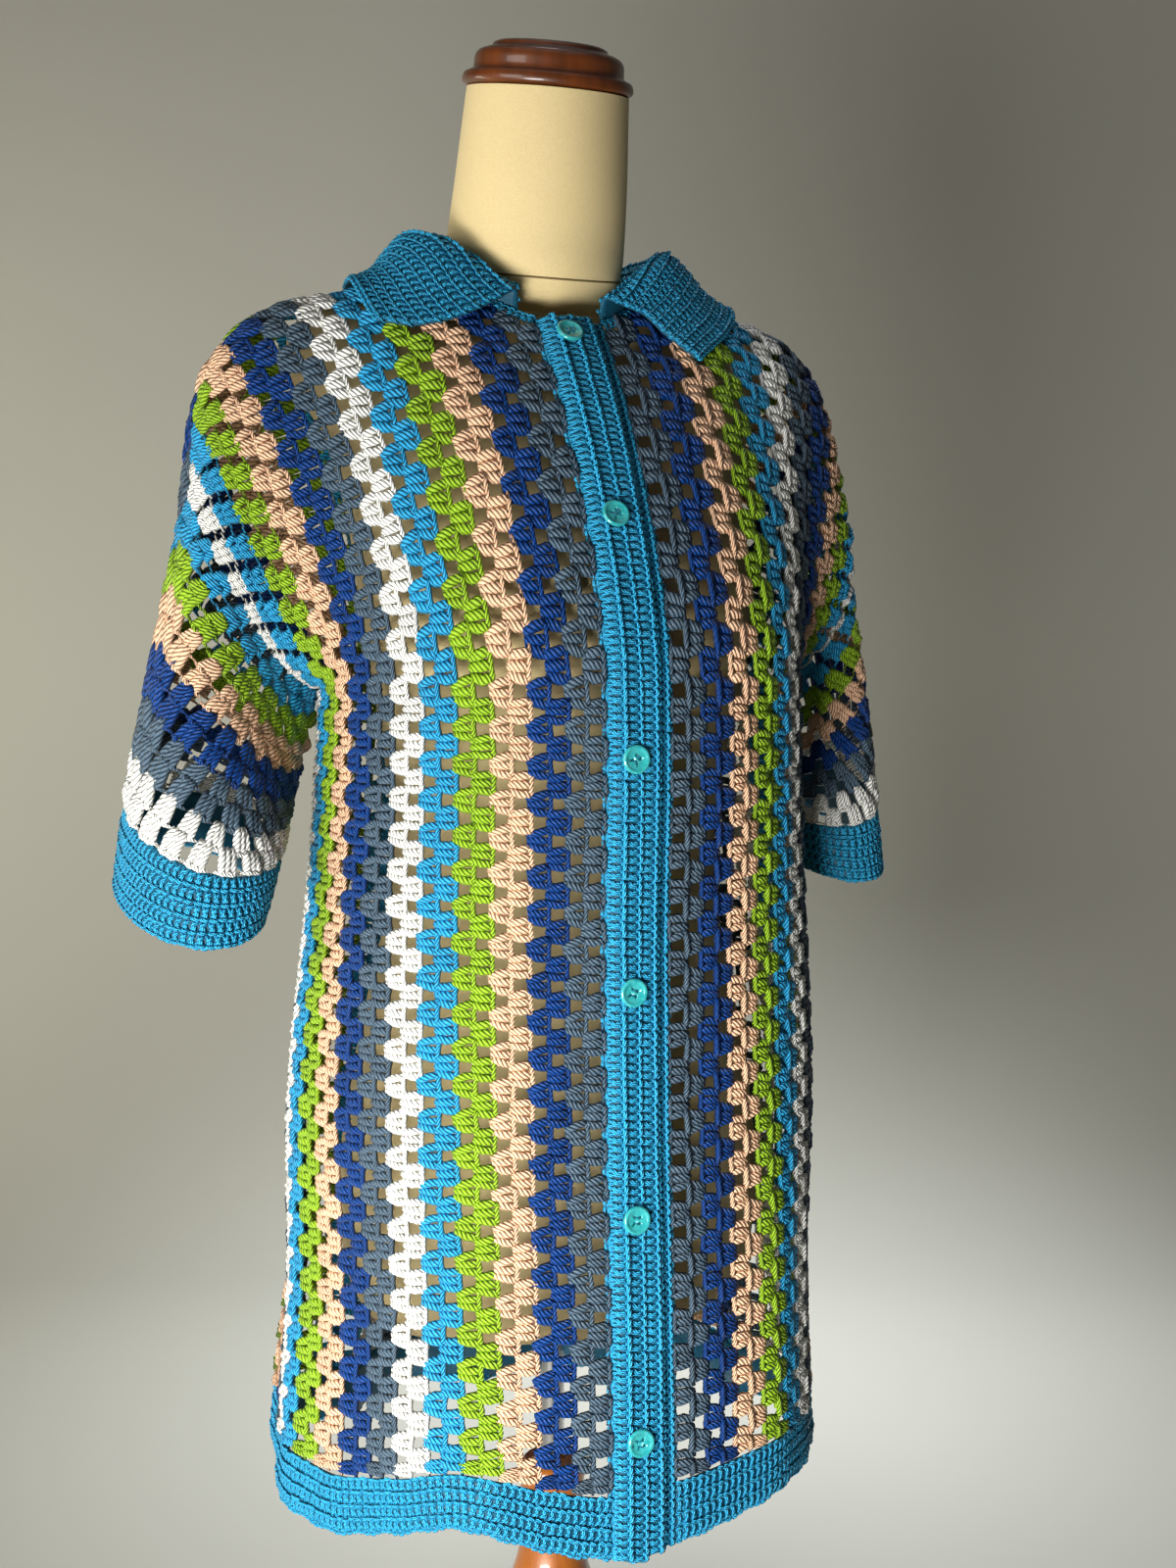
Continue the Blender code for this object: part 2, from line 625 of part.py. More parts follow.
def neckline_rim(side):
    """Angles round the neckline and the height of the cloth's highest edge there."""
    angles, heights = [], []
    for round_at in [*NECK_COLUMNS, *NECK_BACK_COLUMNS]:
        points = [cloth(side, round_at, row_top(side, round_at), out) for out in (-WALL / 2, 0.0, WALL / 2)]
        x, y = abs(points[1][0]), points[1][1]
        angles.append(np.arctan2(x / NECKLINE_WIDE, (NECKLINE_Y - y) / neckline_deep(round_at)))
        heights.append(max(p[2] for p in points))
    angles, heights = np.array(angles), np.array(heights)
    steep = np.abs(np.gradient(heights, angles)) / NECKLINE_WIDE
    return angles, heights + RIM_CLEAR * steep


def cloth_samples(side):
    """Points of the cloth's outer face round the neck and on the shoulder, for the collar to lie on."""
    points = []
    for round_at in [*np.linspace(0.0, 0.9, 30), *np.linspace(1.1, 2.0, 30)]:
        top = row_top(side, round_at)
        for share in np.linspace(0.78, 1.0, 30):
            points.append(cloth(side, round_at, up_to(top, share), WALL / 2))
    return np.abs(np.array(points)) * (1, 0, 1) + np.array(points) * (0, 1, 0)


def height_on(samples, x, y):
    """The height of the cloth's outer face at a place seen from above, on a plane through its top samples."""
    away = (samples[:, 0] - abs(x)) ** 2 + (samples[:, 1] - y) ** 2
    near = samples[away < max(0.014, 1.6 * np.sqrt(away.min())) ** 2]
    near = near[near[:, 2] > near[:, 2].max() - 0.020]
    run = np.stack((near[:, 0] - abs(x), near[:, 1] - y, np.ones(len(near))), axis=1)
    weight = 1 / (run[:, 0] ** 2 + run[:, 1] ** 2 + 1e-5)
    steady = np.diag((2e-1, 2e-1, 0.0))
    left = (run * weight[:, None]).T @ run + steady
    return float(np.linalg.solve(left, (run * weight[:, None]).T @ near[:, 2])[2])


# The collar's leaf on each side: where it starts round the neck, how much further round its front corner
# lies and how early its edge turns that way, and how far it reaches out, seen from above, at the front
# corner and beside the neck
Leaf = namedtuple("Leaf", "start swing early tip side")
LEAF_RIGHT = Leaf(radians(29.0), radians(38.5), 0.93, 0.069, 0.060)
LEAF_LEFT = Leaf(radians(20.2), radians(27.0), 0.39, 0.050, 0.076)
LEAF_BACK = 0.040
FOLD_LEAN = 0.018               # how far the collar's stand leans out beside and behind the neck
FOLD_RADIUS = 0.0045
CREST_LIFT = 0.0050             # and how much more it clears on the shoulder's crest
LEAF_LIFT = 0.0036              # gap under the leaf, which faceted cloth needs
CREST_WIDTH = 0.035
FOLD_STEPS = 4                  # places round the fold, and on the leaf
STAND_SHARE = 0.55              # of its full height that the collar's stand has at the front
FRONT_REACH = 0.35              # the part of the collar's run that belongs to its front corner
HANG_FROM, HANG_TO = 0.45, 0.75  # where on its run the leaf starts to hang free at the back


def collar_run(samples, rim, side, angle):
    """The collar's middle line at one place round the neck, from its seam over the fold to its edge."""
    x0, y0 = neckline_at(angle)
    base = float(np.interp(angle, *rim)) + 2 * SEAM
    leaf = LEAF_LEFT if side > 0 else LEAF_RIGHT
    share = (angle - leaf.start) / (pi - leaf.start)
    height = STAND_HEIGHT * (STAND_SHARE + (1 - STAND_SHARE) * ease(share, 0.0, 0.25))
    reach = leaf.tip + (leaf.side - leaf.tip) * ease(share, 0.0, FRONT_REACH)
    reach += (LEAF_BACK - reach) * ease(share, 0.5, 1.0)
    out = np.array((sin(angle), -cos(angle)))
    lean = FOLD_LEAN * ease(share, 0.0, 0.4)
    line = [(x0, y0, base), (x0 + out[0] * lean * 0.45, y0 + out[1] * lean * 0.45, base + height * 0.5)]
    for step in range(FOLD_STEPS):
        turn = pi * (0.05 + step / FOLD_STEPS)
        away = lean + FOLD_RADIUS * (1 - cos(turn))
        top = base + height - FOLD_RADIUS + FOLD_RADIUS * sin(turn)
        line.append((x0 + out[0] * away, y0 + out[1] * away, top))
    fold = line[-1]
    swing = leaf.swing * (1 - share) ** 1.6
    for f in np.arange(1, FOLD_STEPS + 1) / FOLD_STEPS:
        turned_angle = angle + swing * f ** leaf.early
        nx, ny = neckline_at(turned_angle)
        away = lean + 2 * FOLD_RADIUS + (reach - lean - 2 * FOLD_RADIUS) * f
        x, y = nx + sin(turned_angle) * away, ny - cos(turned_angle) * away
        on_crest = exp(-((y - RIDGE_Y) / CREST_WIDTH) ** 2)
        rest = height_on(samples, x, y) + COLLAR_WALL / 2 + LEAF_LIFT + CREST_LIFT * on_crest
        rest += (fold[2] - height_on(samples, fold[0], fold[1])) * (1 - f) ** 2.6
        hanging = fold[2] - 0.9 * LEAF_WIDTH * f
        at_back = ease(share, HANG_FROM, HANG_TO)
        line.append((x, y, max(rest, rest * (1 - at_back) + hanging * at_back)))
    return [(side * x, y, z) for x, y, z in line]


def collar_angles(side, rim):
    """Where round the neck the collar's sections lie, from its front corner to the back."""
    start = (LEAF_LEFT if side > 0 else LEAF_RIGHT).start
    return [start, *[angle for angle in rim[0] if angle > start + 0.08]]


def make_collar():
    halves = []
    for side in (-1, 1):
        samples, rim = cloth_samples(side), neckline_rim(side)
        halves.append(np.array([collar_run(samples, rim, side, a) for a in collar_angles(side, rim)]))
    halves[0][-1] = halves[1][-1] = (halves[0][-1] + halves[1][-1]) / 2
    middle = np.concatenate((halves[0], halves[1][-2::-1]))    # round the neck, from the right end to the left
    lift = np.zeros_like(middle)
    for i in range(middle.shape[0]):
        for j in range(middle.shape[1]):
            along_neck = middle[min(i + 1, len(middle) - 1), j] - middle[max(i - 1, 0), j]
            along_run = middle[i, min(j + 1, middle.shape[1] - 1)] - middle[i, max(j - 1, 0)]
            n = np.cross(along_neck, along_run)
            lift[i, j] = n / np.linalg.norm(n)
    lift[:, 0] = lift[:, 1]
    outer = middle + lift * COLLAR_WALL / 2
    inner = middle - lift * COLLAR_WALL / 2
    outer[:, 0, 2], inner[:, 0, 2] = middle[:, 0, 2], middle[:, 0, 2]
    outer, inner = outer.transpose(1, 0, 2), inner.transpose(1, 0, 2)
    return wall("collar", outer, inner, material("plain crochet", TURQUOISE))


def make_buttons():
    look = material("pearly button", BUTTON_BLUE, 0.2)
    profile = (
        (BUTTON_RADIUS * 0.86, 0.0),
        (BUTTON_RADIUS, BUTTON_THICK * 0.35), (BUTTON_RADIUS, BUTTON_THICK * 0.65),
        (BUTTON_RADIUS * 0.9, BUTTON_THICK), (BUTTON_RADIUS * 0.72, BUTTON_THICK * 0.93),
        (BUTTON_RADIUS * 0.6, BUTTON_THICK - BUTTON_DISH),
    )
    ups = np.linspace(0.0, 1.0, 200)
    heights = np.array([band_point(BAND_MIDDLE, up_to(band_top(BAND_MIDDLE), up))[2] for up in ups])
    for number, z in enumerate(BUTTON_Z, 1):
        up = up_to(band_top(BAND_MIDDLE), float(np.interp(z, heights, ups)))
        seat = band_point(BAND_MIDDLE, up, WALL + LAYER_GAP + WALL / 2 + SHANK)
        n = seat - band_point(BAND_MIDDLE, up)
        n[0] = 0.0
        n /= np.linalg.norm(n)
        made = turned(f"button_{number}", profile, look, 20)
        for vertex in made.data.vertices:
            x, y, h = vertex.co
            vertex.co = (seat[0] + x, seat[1] + n[1] * h + n[2] * y, seat[2] + n[2] * h - n[1] * y)


def turned(name, profile, look, segments=40, middle=(0.0, 0.0, 0.0), tilt=0.0):
    """A solid of revolution round Z, closed flat at both ends, tipped about X at its middle."""
    points = []
    for radius, height in profile:
        for i in range(segments):
            angle = tau * i / segments
            x, y = radius * cos(angle), radius * sin(angle)
            points.append((middle[0] + x, middle[1] + y * cos(tilt) - height * sin(tilt),
                           middle[2] + height * cos(tilt) + y * sin(tilt)))
    rings = len(profile)
    faces = [tuple(reversed(range(segments)))]
    for ring in range(rings - 1):
        for i in range(segments):
            j = (i + 1) % segments
            a, b = ring * segments, (ring + 1) * segments
            faces.append((a + i, a + j, b + j, b + i))
    faces.append(tuple((rings - 1) * segments + i for i in range(segments)))
    return add_object(name, points, faces, look)


def make_form_body():
    heights = [row.z for row in FORM]
    extra = [(a + b) / 2 for a, b in zip(heights, heights[1:]) if b - a > 0.045]
    segments = 32
    points = []
    levels = sorted(heights + extra)
    for z in levels:
        row = read_table(FORM, "z", z)
        middle = (row.front + row.back) / 2
        deep = (row.back - row.front) / 2
        power = 2 / row.square
        for i in range(segments):
            angle = tau * i / segments
            x = row.wide * np.sign(cos(angle)) * abs(cos(angle)) ** power
            y = middle + deep * np.sign(sin(angle)) * abs(sin(angle)) ** power
            tip = (y - middle) * sin(CAP_TILT) * ease(z, NECK_FROM, FORM[-1].z)
            points.append((x, y, z + tip))
    faces = [tuple(reversed(range(segments)))]
    for ring in range(len(levels) - 1):
        for i in range(segments):
            j = (i + 1) % segments
            a, b = ring * segments, (ring + 1) * segments
            faces.append((a + i, a + j, b + j, b + i))
    faces.append(tuple((len(levels) - 1) * segments + i for i in range(segments)))
    return add_object("form_body", points, faces, material("linen", LINEN))


def main():
    for old in list(bpy.data.objects):
        bpy.data.objects.remove(old)
    make_front("front_right", -1, SEAM - UPPER_BAND[0])
    make_front("front_left", 1, UNDER_BAND[1] + SEAM)
    make_back()
    for name, side in (("right", -1), ("left", 1)):
        make_sleeve("sleeve_" + name, side)
        make_cuff("cuff_" + name, side)
    make_bands()
    make_hem_band()
    make_collar()
    make_buttons()
    make_form_body()
    turned("form_cap", CAP_PROFILE, material("varnished wood", WOOD, 0.25), 40, CAP_MIDDLE, CAP_TILT)
    pole = ((POLE_RADIUS, POLE_BOTTOM), (POLE_RADIUS, FORM[0].z - SEAM))
    turned("form_pole", pole, material("chrome", CHROME, 0.1, 1.0), 20)
    turned("form_base", BASE_PROFILE, material("turned stand wood", STAND_WOOD, 0.25), 48)


main()
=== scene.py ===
"""Crochet cardigan in granny stripes on a dress form: the finish of every piece.

Metres, +Z up, the stand's underside on z = 0. The buttoned front faces -Y and the wearer's right is -X.
Every stitch lies on the cloth's own surface, which `cloth` gives from how far round it is, from the
buttons (0) over the side seam (1) to the middle of the back (2), and how far up, from the hem (0) to the
shoulder ridge (1). Clusters of three trebles and single trebles are yarn tubes, set out row by row.
"""
from collections import namedtuple
from math import cos, exp, pi, radians, sin, tau

import bmesh
import bpy
import numpy as np
from bpy.props import FloatProperty, FloatVectorProperty, IntProperty, PointerProperty
from mathutils import Matrix, Vector


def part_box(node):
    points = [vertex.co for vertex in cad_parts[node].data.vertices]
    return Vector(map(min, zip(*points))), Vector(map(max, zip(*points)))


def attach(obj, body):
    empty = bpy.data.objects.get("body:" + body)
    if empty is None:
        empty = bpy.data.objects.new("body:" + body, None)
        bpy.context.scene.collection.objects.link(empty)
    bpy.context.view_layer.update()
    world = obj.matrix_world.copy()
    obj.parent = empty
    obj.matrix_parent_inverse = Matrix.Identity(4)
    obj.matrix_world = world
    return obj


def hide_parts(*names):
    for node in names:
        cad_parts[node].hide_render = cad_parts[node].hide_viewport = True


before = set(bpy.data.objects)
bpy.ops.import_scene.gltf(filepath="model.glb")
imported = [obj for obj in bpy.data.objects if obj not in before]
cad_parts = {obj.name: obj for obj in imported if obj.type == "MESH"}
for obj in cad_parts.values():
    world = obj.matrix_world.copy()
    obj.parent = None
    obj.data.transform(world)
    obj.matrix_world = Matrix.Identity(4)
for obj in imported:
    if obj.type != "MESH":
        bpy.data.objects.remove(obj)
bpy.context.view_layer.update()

bl_info = {
    "name": "Crochet Cardigan",
    "version": (1, 0, 0),
    "blender": (4, 5, 0),
    "location": "View3D > Sidebar > Cardigan",
    "description": "Dresses a cardigan's packed solids in granny-stripe crochet, with its form and stand",
    "category": "Object",
}

SIDES = ((-1, "right"), (1, "left"))    # the wearer's

# Cloth
WALL = 0.003              # thickness of the crochet
SEAM = 0.0003             # gap between two pieces at a seam
LAYER_GAP = 0.0006        # gap between the two button bands, which lie on each other
UNDERARM_GAP = 0.0012     # gap between front and sleeve where they lie face to face under the arm
FRONT_ARC = 0.288         # from the middle of the front to the side seam, along the cloth
UNDERARM_T = 22 / 32      # 22 of a row's 32 clusters lie below the underarm
HEM_SHARE = 0.05          # how far down the hem band goes, on the same scale
MEAN_HEM = 0.228          # height above the floor of the hem band's upper edge
UNDERARM_Z = 0.714
BAND_WIDTH = 0.034
BAND_MIDDLE = -0.005      # the upper band's middle lies a little to the wearer's right
UNDER_BAND_SHIFT = 0.009  # how far the lower band shows beside the upper one
BAND_RAMP = 0.009         # the upper band climbs on the lower one within this width
RAMP_CLEAR = 0.0005       # the lower band starts this far past the ramp

# Cloth sections, the half widths on the wearer's right and left, and where front and back lie
Section = namedtuple("Section", "z right left front back")
SECTIONS = (
    Section(0.170, 0.186, 0.184, -0.150, 0.152),
    Section(0.222, 0.182, 0.178, -0.150, 0.150),
    Section(0.330, 0.172, 0.173, -0.145, 0.146),
    Section(0.450, 0.170, 0.175, -0.137, 0.138),
    Section(0.570, 0.157, 0.167, -0.133, 0.130),
    Section(0.660, 0.150, 0.161, -0.135, 0.128),
    Section(0.714, 0.147, 0.160, -0.133, 0.128),
)
SQUARENESS = 2.35         # exponent of the sections, 2 would be an ellipse
SECTION_MIDDLE_Y = 0.012

# Where the stripes end above the hem band, round the body on the wearer's right and left
# and how tall the band is there
Hem = namedtuple("Hem", "round_at right left tall")
HEM = (
    Hem(0.00, 0.224, 0.228, 0.038),
    Hem(0.20, 0.236, 0.235, 0.036),
    Hem(0.38, 0.249, 0.240, 0.032),
    Hem(0.54, 0.240, 0.238, 0.032),
    Hem(0.70, 0.231, 0.234, 0.034),
    Hem(0.85, 0.231, 0.231, 0.034),
    Hem(1.00, 0.229, 0.228, 0.034),
    Hem(1.40, 0.227, 0.226, 0.036),
    Hem(2.00, 0.228, 0.228, 0.036),
)

# Soft folds that run down the cloth: where their middle is round the body, how wide, and how deep at the
# hem and at the top of the fold
Fold = namedtuple("Fold", "round_at width hem_depth top_depth top_z")
FOLDS = (
    Fold(0.34, 0.15, 0.004, 0.000, 0.45),
    Fold(0.62, 0.16, -0.005, 0.000, 0.50),
    Fold(0.88, 0.15, 0.005, 0.000, 0.62),
    Fold(1.12, 0.13, -0.010, -0.004, 0.70),
    Fold(1.34, 0.13, 0.013, 0.005, 0.80),
    Fold(1.56, 0.13, -0.013, -0.004, 0.84),
    Fold(1.79, 0.13, 0.013, 0.004, 0.84),
    Fold(2.00, 0.12, -0.012, -0.003, 0.84),
)

# Shoulder ridge: a straight slope from the neck, then a round drop to the sleeve seam
RIDGE_Y = 0.032
RIDGE_TOP_Z = 0.990       # where the slope would meet the middle
RIDGE_SLOPE = radians(12.5)
RIDGE_TURN = radians(86)  # and hangs on at this slope
RIDGE_LENGTH = 0.322
Ridge = namedtuple("Ridge", "straight radius")   # length of the slope, radius of the drop
RIDGE_RIGHT = Ridge(0.166, 0.082)
RIDGE_LEFT = Ridge(0.160, 0.062)

# Neckline, an ellipse seen from above, and the collar on it
NECKLINE_Y = 0.038
NECKLINE_WIDE = 0.067
NECKLINE_FRONT = 0.0605   # how far the neckline reaches to the front and to the back of its middle
NECKLINE_BACK = 0.069
STAND_HEIGHT = 0.027
LEAF_WIDTH = 0.058
COLLAR_WALL = 0.0035
RIM_CLEAR = 0.0014        # how much more the collar clears a neckline that rises as steeply as it runs

# The collar's leaf on each side: where it starts round the neck, how much further round its front corner
# lies and how early its edge turns that way, and how far it reaches out, seen from above, at the front
# corner and beside the neck
Leaf = namedtuple("Leaf", "start swing early tip side")
LEAF_RIGHT = Leaf(radians(29.0), radians(38.5), 0.93, 0.069, 0.060)
LEAF_LEFT = Leaf(radians(20.2), radians(27.0), 0.39, 0.050, 0.076)
LEAF_BACK = 0.040
LEAF_LIFT = 0.0036        # gap under the leaf, which faceted cloth needs
CREST_LIFT = 0.0050       # and how much more it clears on the shoulder's crest
CREST_WIDTH = 0.035
FOLD_LEAN = 0.018         # how far the collar's stand leans out beside and behind the neck
FOLD_RADIUS = 0.0045
FOLD_STEPS = 4            # places round the fold, and on the leaf
STAND_SHARE = 0.55        # of its full height that the collar's stand has at the front
FRONT_REACH = 0.35        # the part of the collar's run that belongs to its front corner
HANG_FROM, HANG_TO = 0.45, 0.75    # where on its run the leaf starts to hang free at the back

# Cuff openings: middle, half widths and how much lower the front is than the back
Cuff = namedtuple("Cuff", "x y z wide deep tilt")
CUFF_RIGHT = Cuff(0.238, 0.016, 0.586, 0.043, 0.070, 0.33)
CUFF_LEFT = Cuff(0.2165, 0.034, 0.600, 0.037, 0.066, 0.33)

BUTTONS = 6
BUTTON_THICK = 0.0032

# Dress form
Girth = namedtuple("Girth", "z wide front back square")
FORM = (
    Girth(0.306, 0.128, -0.094, 0.104, 2.15),
    Girth(0.314, 0.134, -0.100, 0.110, 2.15),
    Girth(0.360, 0.142, -0.106, 0.118, 2.15),
    Girth(0.420, 0.140, -0.106, 0.116, 2.15),
    Girth(0.500, 0.126, -0.098, 0.104, 2.15),
    Girth(0.590, 0.108, -0.088, 0.090, 2.15),
    Girth(0.660, 0.112, -0.098, 0.094, 2.15),
    Girth(0.730, 0.124, -0.112, 0.100, 2.15),
    Girth(0.775, 0.130, -0.110, 0.106, 2.15),
    Girth(0.820, 0.134, -0.082, 0.108, 2.10),
    Girth(0.870, 0.146, -0.052, 0.104, 2.00),
    Girth(0.905, 0.166, -0.028, 0.092, 1.90),
    Girth(0.930, 0.170, -0.014, 0.082, 1.60),
    Girth(0.9445, 0.162, -0.004, 0.074, 1.30),
    Girth(0.9535, 0.1530, 0.012, 0.054, 1.15),
    Girth(0.9630, 0.060, -0.008, 0.078, 1.60),
    Girth(0.9780, 0.0575, -0.017, 0.089, 1.90),
    Girth(1.0000, 0.0590, -0.020, 0.094, 2.00),
    Girth(1.0400, 0.0565, -0.029, 0.084, 2.00),
    Girth(1.0960, 0.0525, -0.037, 0.068, 2.00),
)
CAP_MIDDLE = (0.0, 0.0165, 1.0965)
CAP_TILT = radians(11.0)  # the neck leans forward, and its top with it
NECK_FROM = 0.985         # the neck's sections tip forward from here up
CAP_PROFILE = (           # radius and height above the neck's top
    (0.0520, 0.0003), (0.0552, 0.0020), (0.0557, 0.0050), (0.0546, 0.0085), (0.0505, 0.0103),
    (0.0487, 0.0115), (0.0485, 0.0190), (0.0465, 0.0222), (0.0425, 0.0243), (0.0378, 0.0253),
    (0.0368, 0.0278), (0.0340, 0.0290),
)
POLE_RADIUS = 0.0085
POLE_BOTTOM = 0.1903
BASE_PROFILE = (          # radius and height of the turned foot, from the floor up
    (0.140, 0.000), (0.143, 0.004), (0.143, 0.014), (0.139, 0.018), (0.128, 0.021), (0.122, 0.026),
    (0.100, 0.034), (0.072, 0.045), (0.051, 0.062), (0.038, 0.080), (0.0305, 0.098), (0.0265, 0.111),
    (0.0225, 0.124), (0.0212, 0.140), (0.0212, 0.172), (0.0224, 0.176), (0.0228, 0.181),
    (0.0218, 0.187), (0.0180, 0.190),
)

SLEEVE_TURNS = 18         # clusters round a sleeve
CUFF_SHARE = 0.24         # of the sleeve's length
CUFF_GAP = 0.0030         # half the seam between sleeve and cuff, on the same scale
NECK_ROUND_AT = NECKLINE_WIDE / cos(RIDGE_SLOPE) / RIDGE_LENGTH
NECK_COLUMNS = tuple(NECK_ROUND_AT * f for f in (0.35, 0.56, 0.74, 0.89, 1.0))
NECK_BACK_COLUMNS = tuple(2 - NECK_ROUND_AT * f for f in (0.89, 0.74, 0.56, 0.30, 0.0))
UPPER_BAND = (BAND_MIDDLE - BAND_WIDTH / 2, BAND_MIDDLE + BAND_WIDTH / 2)
UNDER_BAND = (UPPER_BAND[0] + BAND_RAMP + RAMP_CLEAR, UPPER_BAND[1] + UNDER_BAND_SHIFT)


# Curves and tables

def ease(x, low=0.0, high=1.0):
    """0 below low and 1 above high, with a smooth step between."""
    x = np.clip((x - low) / (high - low), 0.0, 1.0)
    return x * x * (3 - 2 * x)


def read_table(table, key, at):
    """The row of a table at a height between its rows, each column on a smooth curve."""
    keys = [getattr(row, key) for row in table]
    last = len(keys) - 2
    i = int(np.clip(np.searchsorted(keys, at) - 1, 0, last))
    step = keys[i + 1] - keys[i]
    f = np.clip((at - keys[i]) / step, 0.0, 1.0)
    values = [np.array(row) for row in table]
    before = values[i - 1] if i > 0 else 2 * values[i] - values[i + 1]
    after = values[i + 2] if i < last else 2 * values[i + 1] - values[i]
    before_key = keys[i - 1] if i > 0 else keys[i] - step
    after_key = keys[i + 2] if i < last else keys[i + 1] + step
    slope_in = (values[i + 1] - before) / (keys[i + 1] - before_key) * step
    slope_out = (after - values[i]) / (after_key - keys[i]) * step
    a = 2 * values[i] - 2 * values[i + 1] + slope_in + slope_out
    b = -3 * values[i] + 3 * values[i + 1] - 2 * slope_in - slope_out
    return type(table[0])(*(((a * f + b) * f + slope_in) * f + values[i]))


def along(points, distance):
    """The point of a dense polyline at a distance from its start, and past its ends in a straight line."""
    steps = np.linalg.norm(np.diff(points, axis=0), axis=1)
    lengths = np.concatenate(([0.0], np.cumsum(steps)))
    i = int(np.clip(np.searchsorted(lengths, distance) - 1, 0, len(steps) - 1))
    return points[i] + (points[i + 1] - points[i]) * (distance - lengths[i]) / steps[i]


def path_length(points):
    return float(np.linalg.norm(np.diff(points, axis=0), axis=1).sum())


# The hanging cloth

_sections = {}


def half_section(side, z):
    """Half of a level section of the cloth as a dense polyline, from the front's middle to the back's."""
    key = (side, round(float(z), 6))
    if key not in _sections:
        row = read_table(SECTIONS, "z", z)
        wide = row.left if side > 0 else row.right
        turn = np.linspace(0.0, pi, 181)
        deep = np.where(turn < pi / 2, SECTION_MIDDLE_Y - row.front, row.back - SECTION_MIDDLE_Y)
        power = 2 / SQUARENESS
        x = side * wide * np.abs(np.sin(turn)) ** power
        y = SECTION_MIDDLE_Y - deep * np.sign(np.cos(turn)) * np.abs(np.cos(turn)) ** power
        _sections[key] = np.stack((x, y, np.full_like(x, z)), axis=1)
    return _sections[key]


def level_point(side, round_at, z):
    """A point of the cloth below the underarm, without its folds."""
    points = half_section(side, z)
    if round_at <= 1:
        return along(points, round_at * FRONT_ARC)
    rest = path_length(points) - FRONT_ARC
    return along(points, FRONT_ARC + (round_at - 1) * rest)


def ridge_point(side, round_at):
    """A point of the shoulder ridge, where front and back meet."""
    distance = (round_at if round_at <= 1 else 2 - round_at) * RIDGE_LENGTH
    ridge = RIDGE_LEFT if side > 0 else RIDGE_RIGHT
    run = min(distance, ridge.straight)
    x = run * cos(RIDGE_SLOPE)
    z = RIDGE_TOP_Z - run * sin(RIDGE_SLOPE)
    turned_by = min(RIDGE_SLOPE + max(distance - ridge.straight, 0.0) / ridge.radius, RIDGE_TURN)
    hanging = max(distance - ridge.straight - (RIDGE_TURN - RIDGE_SLOPE) * ridge.radius, 0.0)
    x += ridge.radius * (sin(turned_by) - sin(RIDGE_SLOPE)) + hanging * cos(RIDGE_TURN)
    z -= ridge.radius * (cos(RIDGE_SLOPE) - cos(turned_by)) + hanging * sin(RIDGE_TURN)
    return np.array((side * x, RIDGE_Y, z))


def upper_path(side, round_at):
    """The run of a row from the underarm's height to the shoulder ridge, as a dense polyline."""
    start = level_point(side, round_at, UNDERARM_Z)
    end = ridge_point(side, round_at)
    front = round_at <= 1
    to_arm = ease(round_at if front else 2 - round_at, 0.55, 1.0)
    forward = -1 if front else 1
    middle = 1 - ease(round_at if front else 2 - round_at, 0.0, 0.5)
    rise = np.array((0.0, 0.0, 0.075 if front else 0.095 + 0.060 * middle))
    round_the_arm = np.array((side * 0.055, forward * 0.062, 0.0))
    leave = start + rise * (1 - to_arm) + round_the_arm * to_arm
    reach = 0.050 + 0.022 * middle if front else 0.062 + 0.075 * middle
    drop = np.array((side * 0.010, forward * 0.078, -0.020))
    arrive = end + np.array((0.0, forward * reach, 0.0)) * (1 - to_arm) + drop * to_arm
    if front:
        arrive[2] -= 0.031 * (1 - ease(round_at, 0.05, 0.30))
    f = np.linspace(0.0, 1.0, 41)[:, None]
    return ((1 - f) ** 3 * start + 3 * (1 - f) ** 2 * f * leave + 3 * (1 - f) * f * f * arrive + f ** 3 * end)


_paths = {}


def torso(side, round_at, up):
    """A point of the cloth's middle surface: round_at 0 to 2 as above, up 0 at the hem to 1 at the ridge."""
    if up <= UNDERARM_T:
        row = read_table(HEM, "round_at", round_at)
        hem = row.left if side > 0 else row.right
        z = hem + (UNDERARM_Z - hem) * up / UNDERARM_T if up > 0 else hem + row.tall * up / HEM_SHARE
        return level_point(side, round_at, z)
    key = (side, round(float(round_at), 6))
    if key not in _paths:
        _paths[key] = upper_path(side, round_at)
    points = _paths[key]
    return along(points, path_length(points) * (up - UNDERARM_T) / (1 - UNDERARM_T))


def normal_of(surface, a, b, step=1e-3):
    """The unit normal of a surface at (a, b): the a direction cross the b direction."""
    across = surface(a + step, b) - surface(a - step, b)
    upward = surface(a, b + step) - surface(a, b - step)
    n = np.cross(across, upward)
    return n / np.linalg.norm(n)


def outward(side, round_at, up):
    """The cloth's normal, pointing away from the wearer. The underarm's corner is smoothed over."""
    n = normal_of(lambda a, b: torso(side, a, b), round_at, up, 2e-3)
    return n * side


def fold_depth(side, round_at, z):
    """How far the soft folds move the cloth out at a height."""
    depth = 0.0
    for fold in FOLDS:
        for shift in (0.0, 2 * (2 - fold.round_at)):
            near = (round_at - fold.round_at - shift) / fold.width
            fade = 1 - ease(z, MEAN_HEM, fold.top_z + 0.08)
            down = fold.top_depth + (fold.hem_depth - fold.top_depth) * fade
            above = 1 - ease(z, fold.top_z, fold.top_z + 0.12)
            depth += down * above * np.exp(-near * near * 4)
            if fold.round_at == 2.0:
                break
    return depth


def ridge_normal(side, round_at):
    """The way out on the shoulder seam, which front and back share."""
    run = ridge_point(side, round_at + 1e-3) - ridge_point(side, round_at - 1e-3)
    if round_at > 1:
        run = -run
    n = np.array((-run[2], 0.0, run[0])) * side
    return n / np.linalg.norm(n)


